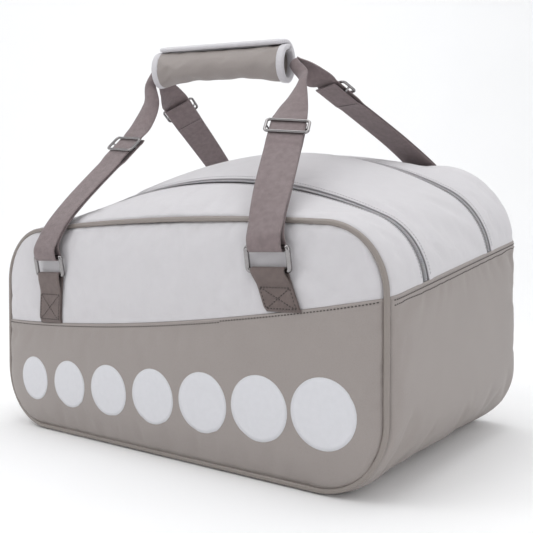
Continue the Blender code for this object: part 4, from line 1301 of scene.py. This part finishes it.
def strap(leg):
    """Doubled webbing round the ring and up to the glide, then one layer gathered into the grip."""
    frames = leg.frames()
    lengths = [0.0]
    for a, b in zip(frames, frames[1:]):
        lengths.append(lengths[-1] + (b[0] - a[0]).length)
    glide_at = lengths[GLIDE_POINT * SPAN_STEPS]
    free = glide_at + glide_reach(GLIDE_RISE)
    spread = spread_of(glide_at)
    stations = []
    for k in reversed([k for k, s in enumerate(lengths) if s <= glide_at + TAIL_PAST_GLIDE]):
        point, _, width, normal = frames[k]
        stations.append(web_section(point - normal * spread(lengths[k]), width, -normal,
                                    WEB_W / 2, WEB_T / 2))
    point, along, width, normal = frames[0]
    for k in range(1, 12):
        a = math.pi * k / 12
        outward = -normal * math.cos(a) - along * math.sin(a)
        stations.append(web_section(point + outward * at_ring_offset(), width, outward,
                                    WEB_W / 2, WEB_T / 2))
    end = lengths[-1]
    for k, (point, _, width, normal) in enumerate(frames):
        s = lengths[k]
        offset = spread(s) if s < glide_at else ease(at_glide_offset(), 0.0, (s - free) / 0.020)
        gather = ease(0.0, 1.0, (s - free) / (end - free))
        half_w = WEB_W / 2 * (1 - 0.55 * gather)
        stations.append(web_section(point + normal * offset, width, normal, half_w,
                                    WEB_T / 2 * (1 + 0.3 * gather), 2.7 * gather))
    name = "cover_strap_" + leg.name
    obj = new_object(name, tube_mesh(name, stations), MATERIALS["webbing"])
    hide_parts("strap_" + leg.name)
    seam_at = glide_at - 0.024
    k = min(range(len(lengths)), key=lambda n: abs(lengths[n] - seam_at))
    point, _, width, normal = frames[k]
    inner = point - normal * (spread(lengths[k]) + WEB_T / 2)
    line = [inner + width * (WEB_W * 0.46 * s) for s in (-1, 1)]
    stitch_row("stitches_strap_" + leg.name, [line], surface_of([name]), lambda p: -normal,
               "thread_light")


def anchor_tab(leg):
    """Doubled webbing sewn to the panel with a boxed cross, folded round the ring's lower bar."""
    bar = leg.lower_bar()
    outward, width = Vector((0, leg.face, 0)), Vector((-leg.face, 0, 0))
    foot_z = leg.foot_z - 0.0035
    tab_x = leg.side * TAB_SPREAD
    rows = 24
    under, upper = [], []
    for k in range(rows + 1):
        share = k / rows
        z = foot_z + (bar.z - foot_z) * share
        x = tab_x + (leg.ring_x - tab_x) * share
        tuck = 0.0016 * ease(1.0, 0.0, share / 0.12)
        first = leg.wall(z) + leg.face * (GAP + WEB_T / 2 - tuck)
        raised = ease(WEB_T + GAP, 2 * (RING_WIRE_R + FOLD_PLAY) + WEB_T, (share - 0.6) / 0.4)
        raised -= tuck * 0.5
        under.append(at_depth(x, first, z))
        upper.append(at_depth(x, first + leg.face * raised, z))
    radius = RING_WIRE_R + FOLD_PLAY + WEB_T / 2
    stations = [web_section(p, width, -outward, WEB_W / 2, WEB_T / 2) for p in under[:-1]]
    for k in range(13):
        a = math.pi * k / 12
        direction = -outward * math.cos(a) + Vector((0, 0, 1)) * math.sin(a)
        stations.append(web_section(bar + direction * radius, width, direction,
                                    WEB_W / 2, WEB_T / 2))
    stations += [web_section(p, width, outward, WEB_W / 2, WEB_T / 2)
                 for p in reversed(upper[:-1])]
    name = "cover_tab_" + leg.name
    obj = new_object(name, tube_mesh(name, stations), MATERIALS["tab"])
    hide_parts("anchor_tab_" + leg.name)
    face_out = outward * (WEB_T / 2)

    def on_tab(across, share):
        """A place on the tab's outer face: across from -1 to 1, share up from the foot."""
        k = int(share * rows)
        place = upper[k].lerp(upper[min(k + 1, rows)], share * rows - k)
        return place + width * (across * WEB_W * 0.43) + face_out

    low, high = 0.06, 0.60
    corners = [on_tab(-1, low), on_tab(1, low), on_tab(1, high), on_tab(-1, high)]
    lines = [[a, b] for a, b in zip(corners, corners[1:] + corners[:1])]
    lines += [[corners[0], corners[2]], [corners[1], corners[3]]]
    stitch_row("stitches_tab_" + leg.name, lines, surface_of([name]), lambda p: outward,
               "thread_light")


# ---------------------------------------------------------------- rings and glides
def rounded_rectangle(width, height, radius, steps=8):
    """(a, b) points of a rounded rectangle, anticlockwise."""
    points = []
    for sx, sy, start in ((1, -1, -90), (1, 1, 0), (-1, 1, 90), (-1, -1, 180)):
        cx, cy = sx * (width / 2 - radius), sy * (height / 2 - radius)
        for k in range(steps + 1):
            a = math.radians(start + 90 * k / steps)
            points.append((cx + radius * math.cos(a), cy + radius * math.sin(a)))
    return points


def ring(leg):
    """Cast rectangular ring, plated, its side bars thicker than its upper and lower bars."""
    low, high = leg.lower_bar(), leg.upper_bar()
    up = (high - low).normalized()
    side = Vector((1, 0, 0))
    middle = (low + high) / 2
    outline = rounded_rectangle(RING_INNER_W + 2 * RING_WIRE_R, RING_PITCH, RING_CORNER_R)
    path = resample([middle + side * a + up * b for a, b in outline + outline[:1]], 150)[:-1]
    stations = loop_stations(path, side.cross(up), RING_WIRE_R)
    for k, (point, station) in enumerate(zip(path, stations)):
        beside = abs((point - middle).x) - WEB_W / 2
        girth = ease(1.0, RING_SIDE_GIRTH, beside / (RING_INNER_W / 2 + RING_WIRE_R - WEB_W / 2))
        stations[k] = [point + (p - point) * girth for p in station]
    name = "cover_ring_" + leg.name
    obj = new_object(name, tube_mesh(name, stations, closed=True), MATERIALS["nickel"],
                     "ring_" + leg.name)
    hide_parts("ring_" + leg.name)


def glide(leg):
    """Three-bar glide: outer bars over the strap, middle bar between its two layers."""
    point, along, width, normal = leg.frames()[GLIDE_POINT * SPAN_STEPS]
    outer_lift = 2 * GLIDE_WIRE_R + WEB_T + 2 * GAP
    outline = rounded_rectangle(GLIDE_INNER_W + 2 * GLIDE_WIRE_R, GLIDE_PITCH, GLIDE_CORNER_R)
    flat = resample([(a, b, 0.0) for a, b in outline + outline[:1]], 160)[:-1]
    path = [point + width * spot.x + along * spot.y + normal * outer_lift for spot in flat]
    stations = loop_stations(path, normal, GLIDE_WIRE_R)
    name = "cover_glide_" + leg.name
    obj = new_object(name, tube_mesh(name, stations, closed=True), MATERIALS["nickel"],
                     "glide_" + leg.name)
    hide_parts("glide_" + leg.name)
    reach = GLIDE_INNER_W / 2 + GLIDE_WIRE_R
    dip = reach - WEB_W / 2
    bar = []
    for k in range(-40, 41):
        across = reach * k / 40
        lift = outer_lift * ease(0.0, 1.0, (abs(across) - WEB_W / 2) / dip)
        bar.append(circle(point + width * across + normal * lift, along, normal,
                          GLIDE_WIRE_R * 0.94, BAR_SIDES))
    name += "_bar"
    new_object(name, tube_mesh(name, bar), MATERIALS["nickel"], "glide_" + leg.name)


# ---------------------------------------------------------------- grip
def grip_frame():
    """The grip's two ends and its axis, front and up directions."""
    left, right = at_depth(*GRIP_LEFT), at_depth(*GRIP_RIGHT)
    axis = (right - left).normalized()
    front = axis.cross(Vector((0, 0, 1))).normalized()
    return left, right, axis, front, front.cross(axis)


def grip_length():
    left, right, _, _, _ = grip_frame()
    return (right - left).length


def grip_point(along, angle, offset):
    """A point on the grip's oval: distance from the left mouth, degrees up from the front."""
    left, _, axis, front, up = grip_frame()
    a = math.radians(angle)
    share = 2 * along / grip_length() - 1
    flare = 0.0016 * share ** 4 - 0.0052 * (1 - share ** 4) ** 2
    below = max(0.0, -math.sin(a))
    return (left + axis * along + front * ((GRIP_HALF_DEEP + offset) * math.cos(a))
            + up * ((GRIP_HALF_TALL + offset + flare * below) * math.sin(a)))


def grip_outward(point):
    left, _, axis, _, _ = grip_frame()
    return (point - left - axis * (point - left).dot(axis)).normalized()


def sleeve():
    """Padded leather sleeve, sewn into its end bindings and open along its top."""
    length = grip_length()
    start, end = GRIP_BINDING * 0.7, length - GRIP_BINDING * 0.7
    rows = 44
    cols = 60
    grid = []
    for r in range(rows + 1):
        s = start + (end - start) * r / rows
        line = []
        for c in range(cols + 1):
            angle = SLIT_TO - 360 + (SLIT_FROM - SLIT_TO + 360) * c / cols
            below = max(0.0, -math.sin(math.radians(angle)))
            ripple = 0.0006 * math.sin(s * 2 * math.pi / 0.031) * below
            line.append(grip_point(s, angle, ripple))
        grid.append(line)
    left, right, _, _, _ = grip_frame()
    mesh = grid_mesh("cover_grip_sleeve", grid, (left + right) / 2)
    obj = new_object("cover_grip_sleeve", mesh, MATERIALS["grip_leather"])
    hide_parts("grip_sleeve")
    return obj, edge_vertices(rows + 1, cols + 1)


def end_binding(word, start):
    """Ribbed binding folded over one end of the sleeve."""
    out, into = 0.0010, -GRIP_WALL - 0.0006
    profile = []
    middle, half = GRIP_BINDING / 2, GRIP_BINDING / 2
    for k in range(16):
        a = 2 * math.pi * k / 16
        squared = [math.copysign(abs(v) ** 0.45, v) for v in (math.cos(a), math.sin(a))]
        profile.append((start + middle + half * squared[0],
                        (out + into) / 2 + (out - into) / 2 * squared[1]))
    stations = []
    steps = 64
    for k in range(steps + 1):
        angle = SLIT_TO - 360 + (SLIT_FROM - SLIT_TO + 360) * k / steps
        stations.append([grip_point(s, angle, offset) for s, offset in profile])
    name = "cover_grip_binding_" + word
    obj = new_object(name, tube_mesh(name, stations), MATERIALS["binding"])
    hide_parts("grip_binding_" + word)


def flap():
    """Padded flap over the sleeve's opening."""
    start, end = FLAP_INSET + 0.003, grip_length() - FLAP_INSET - 0.003
    rows, cols = 40, 26
    grid = []
    for r in range(rows + 1):
        s = start + (end - start) * r / rows
        line = []
        for c in range(cols + 1):
            share = c / cols
            angle = FLAP_FROM + 8 + (FLAP_TO - FLAP_FROM - 8) * share
            puff = 0.0006 * math.sin(math.pi * share) * math.sin(math.pi * r / rows)
            line.append(grip_point(s, angle, FLAP_STAND + FLAP_T + puff))
        grid.append(line)
    left, right, _, _, _ = grip_frame()
    mesh = grid_mesh("cover_grip_flap", grid, (left + right) / 2)
    obj = new_object("cover_grip_flap", mesh, MATERIALS["grip_leather"], "flap")
    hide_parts("grip_flap")
    give_thickness(obj, FLAP_T)


def flap_binding():
    """Binding round the flap's front edge and its two ends, one length with rounded corners."""
    radius = GRIP_HALF_TALL + FLAP_STAND
    width, inset, half_t = 0.0110, 0.0046, 0.0026
    s_low, s_high = FLAP_INSET - 0.001, grip_length() - FLAP_INSET + 0.001
    t_low, t_high = math.radians(FLAP_FROM) * radius, math.radians(FLAP_TO) * radius
    corner = 0.006
    flat = [(s_low + inset, t_high)]
    for k in range(9):
        a = math.pi + math.pi / 2 * k / 8
        flat.append((s_low + inset + corner * (1 + math.cos(a)),
                     t_low + inset + corner * (1 + math.sin(a))))
    for k in range(9):
        a = -math.pi / 2 + math.pi / 2 * k / 8
        flat.append((s_high - inset + corner * (math.cos(a) - 1),
                     t_low + inset + corner * (1 + math.sin(a))))
    flat.append((s_high - inset, t_high))
    path = resample([(s, t, 0.0) for s, t in flat], 130)
    stations = []
    for k, spot in enumerate(path):
        ahead = (path[min(k + 1, len(path) - 1)] - path[max(k - 1, 0)]).normalized()
        across = Vector((-ahead.y, ahead.x, 0.0))
        section = []
        for n in range(16):
            a = 2 * math.pi * n / 16
            wide, high = [math.copysign(abs(v) ** 0.6, v) for v in (math.cos(a), math.sin(a))]
            place = spot + across * (wide * width / 2)
            angle = math.degrees(place.y / radius)
            section.append(grip_point(place.x, angle, FLAP_STAND + FLAP_T / 2 + half_t * high))
        stations.append(section)
    obj = new_object("cover_flap_binding", tube_mesh("cover_flap_binding", stations),
                     MATERIALS["binding"], "flap")
    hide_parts("grip_flap_binding")


# ---------------------------------------------------------------- operators
def end_panel(face):
    """Both covers of the front (face -1) or back (face +1) panel, settled and padded."""
    pieces = [end_cover(face, "lower"), end_cover(face, "upper")]
    settle(pieces)
    for obj, _ in pieces:
        give_thickness(obj, sizes().cover_t)


def seam_stitches(face):
    """A row of stitches under the two-tone seam of the front or back panel."""
    word = "front" if face < 0 else "back"
    seam = seam_height if face < 0 else back_seam_height
    edge_depth = 0.0 if face < 0 else DEPTH
    section = Section(edge_depth)
    line = []
    for x in spaced(section.half - 0.004, 100):
        z = seam(x) - STITCH_IN
        line.append(at_depth(x, edge_depth + face * bulge(x, z, section.top), z))
    stitch_row(f"stitches_{word}_seam", [line], surface_of([f"cover_{word}_lower"]),
               lambda p: Vector((0, face, 0)), "thread")


class PADDLE_OT_front(bpy.types.Operator):
    """Front panel: pale upper part, leather lower part, two-tone seam and piping"""

    bl_idname = "paddle_case.front"
    bl_label = "Front panel and piping"

    def execute(self, context):
        end_panel(-1)
        piping()
        seam_stitches(-1)
        return {"FINISHED"}


class PADDLE_OT_back(bpy.types.Operator):
    """Back panel: pale upper part, leather lower part and its seam"""

    bl_idname = "paddle_case.back"
    bl_label = "Back panel"

    def execute(self, context):
        end_panel(1)
        seam_stitches(1)
        return {"FINISHED"}


class PADDLE_OT_top(bpy.types.Operator):
    """Arched top: three strips of pale fabric between the zips"""

    bl_idname = "paddle_case.top"
    bl_label = "Arched top"

    def execute(self, context):
        edge = COIL_HALF + TAPE_W * 0.9
        front_zip, back_zip = ZIP_DEPTHS["front"], ZIP_DEPTHS["back"]
        spans = (("front", PIPING_R * 0.5, front_zip - edge, False, True),
                 ("middle", front_zip + edge, back_zip - edge, True, True),
                 ("back", back_zip + edge, BACK_EDGE, True, False))
        pieces = [gusset(*span) for span in spans]
        settle(pieces)
        for obj, _ in pieces:
            give_thickness(obj, sizes().cover_t)
        for word, side_word, sign, strip in (("front", "before", -1, "front"),
                                             ("front", "after", 1, "middle"),
                                             ("back", "before", -1, "middle"),
                                             ("back", "after", 1, "back")):
            line = over_top(ZIP_DEPTHS[word] + sign * (edge + STITCH_IN), 0.0, 300, -0.003)
            stitch_row(f"stitches_{word}_zip_{side_word}", [line],
                       surface_of(["cover_gusset_" + strip]), top_outward, "thread_pale")
        return {"FINISHED"}


def top_outward(point):
    """Roughly the way out from the arch."""
    return Vector((point.x * 0.6, 0.0, point.z - 0.10)).normalized()


class PADDLE_OT_sides(bpy.types.Operator):
    """Leather sides with their folded, twice stitched hems, and the flat base"""

    bl_idname = "paddle_case.sides"
    bl_label = "Sides and base"

    def execute(self, context):
        pieces = [side_cover(1), side_cover(-1)]
        settle(pieces)
        for obj, _ in pieces:
            give_thickness(obj, sizes().cover_t)
        base = base_cover()
        give_thickness(base, sizes().cover_t)
        for side, word in ((1, "right"), (-1, "left")):
            trees = surface_of(["cover_side_" + word])
            lines = []
            for drop in (STITCH_IN, SECOND_ROW_IN):
                line = []
                for k in range(81):
                    depth = 0.006 + (DEPTH - 0.008) * k / 80
                    z = hem_height(side, depth) - drop
                    line.append(at_depth(side * Section(depth).half_width(z), depth, z))
                lines.append(line)
            stitch_row("stitches_hem_" + word, lines, trees,
                       lambda p, side=side: Vector((side, 0, 0)), "thread")
        return {"FINISHED"}


class PADDLE_OT_zips(bpy.types.Operator):
    """Two zips: woven tapes, nylon coils, plated sliders and pulls"""

    bl_idname = "paddle_case.zips"
    bl_label = "Zips"

    def execute(self, context):
        for word, depth in ZIP_DEPTHS.items():
            zip_tape(word, depth, "front")
            zip_tape(word, depth, "back")
            zip_teeth(word, depth)
            for part in ("slider", "pull"):
                node = NODES[f"{word}_zip_{part}"]
                finish_node(node, "nickel")
                bevel = node.modifiers.new("Soft edges", "BEVEL")
                bevel.width = 0.00025
                bevel.segments = 2
                bevel.limit_method = "ANGLE"
        return {"FINISHED"}


def finish_node(node, key):
    """Give a node of the frame its finished material."""
    for slot in node.material_slots:
        slot.material = MATERIALS[key]


class PADDLE_OT_straps(bpy.types.Operator):
    """Four anchor tabs, rings, doubled strap legs and glides"""

    bl_idname = "paddle_case.straps"
    bl_label = "Straps, rings and glides"

    def execute(self, context):
        for leg in LEGS:
            anchor_tab(leg)
            ring(leg)
            strap(leg)
            glide(leg)
        return {"FINISHED"}


class PADDLE_OT_grip(bpy.types.Operator):
    """Wrapped grip: padded sleeve, bound ends and flap"""

    bl_idname = "paddle_case.grip"
    bl_label = "Grip"

    def execute(self, context):
        cover, held = sleeve()
        settle([(cover, held)], 0.3)
        give_thickness(cover, GRIP_WALL)
        end_binding("left", 0.0)
        end_binding("right", grip_length() - GRIP_BINDING)
        flap()
        flap_binding()
        trees = surface_of(["cover_flap_binding"])
        line = [grip_point(0.012 + (grip_length() - 0.024) * k / 60, FLAP_FROM + 19,
                           FLAP_STAND + FLAP_T) for k in range(61)]
        stitch_row("stitches_flap", [line], trees, grip_outward, "thread_pale", "flap")
        for key in ("grip_loop_strip", "grip_hook_strip"):
            finish_node(NODES[key], "fastener")
        for key in ("strap_front_in_grip", "strap_back_in_grip"):
            finish_node(NODES[key], "webbing")
        return {"FINISHED"}


class PADDLE_OT_inside(bpy.types.Operator):
    """Stiff base board and padded divider inside the bag"""

    bl_idname = "paddle_case.inside"
    bl_label = "Inside parts"

    def execute(self, context):
        finish_node(NODES["base_board"], "board")
        finish_node(NODES["divider_panel"], "lining")
        return {"FINISHED"}


class PADDLE_OT_print(bpy.types.Operator):
    """Plain printed discs on the front and on the right side"""

    bl_idname = "paddle_case.print"
    bl_label = "Generic print"

    def execute(self, context):
        trees = surface_of(["cover_front_lower"])
        count, first, last = 7, -0.196, 0.205
        for k in range(count):
            share = k / (count - 1)
            middle = at_depth(first + (last - first) * share, -PANEL_BULGE, 0.062 + 0.012 * share ** 2)
            disc(f"print_front_{k + 1}", middle, 0.026 + 0.006 * share, trees, Vector((0, -1, 0)))
        trees = surface_of(["cover_side_right"])
        for k in range(5):
            share = k / 4
            depth = 0.150 + 0.060 * share
            middle = at_depth(LENGTH / 2, depth, hem_height(1, depth) - 0.040)
            disc(f"print_side_{k + 1}", middle, 0.0052, trees, Vector((1, 0, 0)))
        return {"FINISHED"}


VIEW_TURN = math.radians(35.6)    # the camera and the backdrop's bend both face this way


def backdrop(scene):
    """A floor that curves up into a wall behind the bag."""
    bend_from, bend_r, half_width = 1.2, 0.8, 4.0
    profile = [(-3.0, 0.0), (bend_from, 0.0)]
    for k in range(1, 13):
        a = math.pi / 2 * k / 12
        profile.append((bend_from + bend_r * math.sin(a), bend_r * (1 - math.cos(a))))
    profile.append((bend_from + bend_r, 4.0))
    back = Vector((-math.sin(VIEW_TURN), math.cos(VIEW_TURN), 0))
    side = Vector((math.cos(VIEW_TURN), math.sin(VIEW_TURN), 0))
    grid = [[side * (x * half_width) + back * reach + Vector((0, 0, height - FLOOR_CLEAR))
             for x in (-1, 1)] for reach, height in profile]
    mesh = grid_mesh("backdrop", grid, Vector((0, 0, 100)))
    mesh.flip_normals()
    mesh.materials.append(MATERIALS["floor"])
    mesh.shade_smooth()
    floor = bpy.data.objects.new("backdrop", mesh)
    scene.collection.objects.link(floor)


def lights(scene):
    """Pale surroundings and three soft lights, all turned to the bag."""
    world = bpy.data.worlds.new("Studio")
    world.use_nodes = True
    sky = world.node_tree.nodes["Background"]
    sky.inputs["Color"].default_value = (0.97, 0.98, 1.0, 1.0)
    sky.inputs["Strength"].default_value = 0.75
    scene.world = world
    bag = Vector((0, 0, 0.2))
    for name, place, size, power in (("Key light", (-0.9, -1.6, 1.9), 1.6, 18.0),
                                     ("Fill light", (2.0, -0.6, 1.1), 1.6, 7.0),
                                     ("Top light", (0.1, 0.3, 2.2), 1.8, 14.0)):
        light = bpy.data.lights.new(name, "AREA")
        light.size = size
        light.energy = power
        lamp = bpy.data.objects.new(name, light)
        lamp.location = place
        lamp.rotation_euler = (bag - Vector(place)).to_track_quat("-Z", "Y").to_euler()
        scene.collection.objects.link(lamp)


def flags(scene):
    """Narrow black flags, which the metal reflects as dark lines."""
    places = ((0.75, -1.15, 20), (-0.45, -1.35, -20), (1.5, 0.2, 80))
    for number, (x, y, degrees) in enumerate(places, 1):
        turned = math.radians(degrees)
        across = Vector((math.cos(turned), math.sin(turned), 0)) * 0.16
        card = [[Vector((x, y, z)) + across * s for s in (-1, 1)] for z in (0.05, 1.3)]
        name = f"flag_{number}"
        flag = bpy.data.objects.new(name, grid_mesh(name, card, Vector()))
        flag.data.materials.append(MATERIALS["flag"])
        scene.collection.objects.link(flag)


class PADDLE_OT_stage(bpy.types.Operator):
    """Pale floor that curves up behind the bag, soft lights and the camera"""

    bl_idname = "paddle_case.stage"
    bl_label = "Stage"

    def execute(self, context):
        scene = context.scene
        backdrop(scene)
        lights(scene)
        flags(scene)
        eye = bpy.data.cameras.new("Camera")
        eye.lens = 45.82
        eye.sensor_width = 36.0
        eye.clip_start = 0.01
        camera = bpy.data.objects.new("Camera", eye)
        camera.location = (0.5017, -0.6809, 0.2128)
        camera.rotation_euler = (math.radians(90 - 1.2), 0.0, VIEW_TURN)
        scene.collection.objects.link(camera)
        scene.camera = camera
        scene.view_settings.view_transform = "Standard"
        return {"FINISHED"}


class PADDLE_PT_panel(bpy.types.Panel):
    """Lists the bag's pieces, sizes and colours"""

    bl_idname = "PADDLE_PT_panel"
    bl_label = "Paddle Case"
    bl_space_type = "VIEW_3D"
    bl_region_type = "UI"
    bl_category = "Paddle Case"

    def draw(self, context):
        layout = self.layout
        for group in (context.scene.paddle_case_sizes, context.scene.paddle_case_colours):
            box = layout.box()
            for key in group.__annotations__:
                box.prop(group, key)
        for operator in OPERATORS:
            layout.operator(operator.bl_idname)


OPERATORS = (PADDLE_OT_front, PADDLE_OT_back, PADDLE_OT_top, PADDLE_OT_sides, PADDLE_OT_zips,
             PADDLE_OT_straps, PADDLE_OT_grip, PADDLE_OT_inside, PADDLE_OT_print, PADDLE_OT_stage)
CLASSES = (PaddleCaseSizes, PaddleCaseColours) + OPERATORS + (PADDLE_PT_panel,)


def register():
    for item in CLASSES:
        bpy.utils.register_class(item)
    bpy.types.Scene.paddle_case_sizes = bpy.props.PointerProperty(type=PaddleCaseSizes)
    bpy.types.Scene.paddle_case_colours = bpy.props.PointerProperty(type=PaddleCaseColours)


def unregister():
    del bpy.types.Scene.paddle_case_colours
    del bpy.types.Scene.paddle_case_sizes
    for item in reversed(CLASSES):
        bpy.utils.unregister_class(item)


def main():
    register()
    make_materials()
    for operator in OPERATORS:
        group, name = operator.bl_idname.split(".")
        getattr(getattr(bpy.ops, group), name)()


if __name__ == "__main__":
    main()
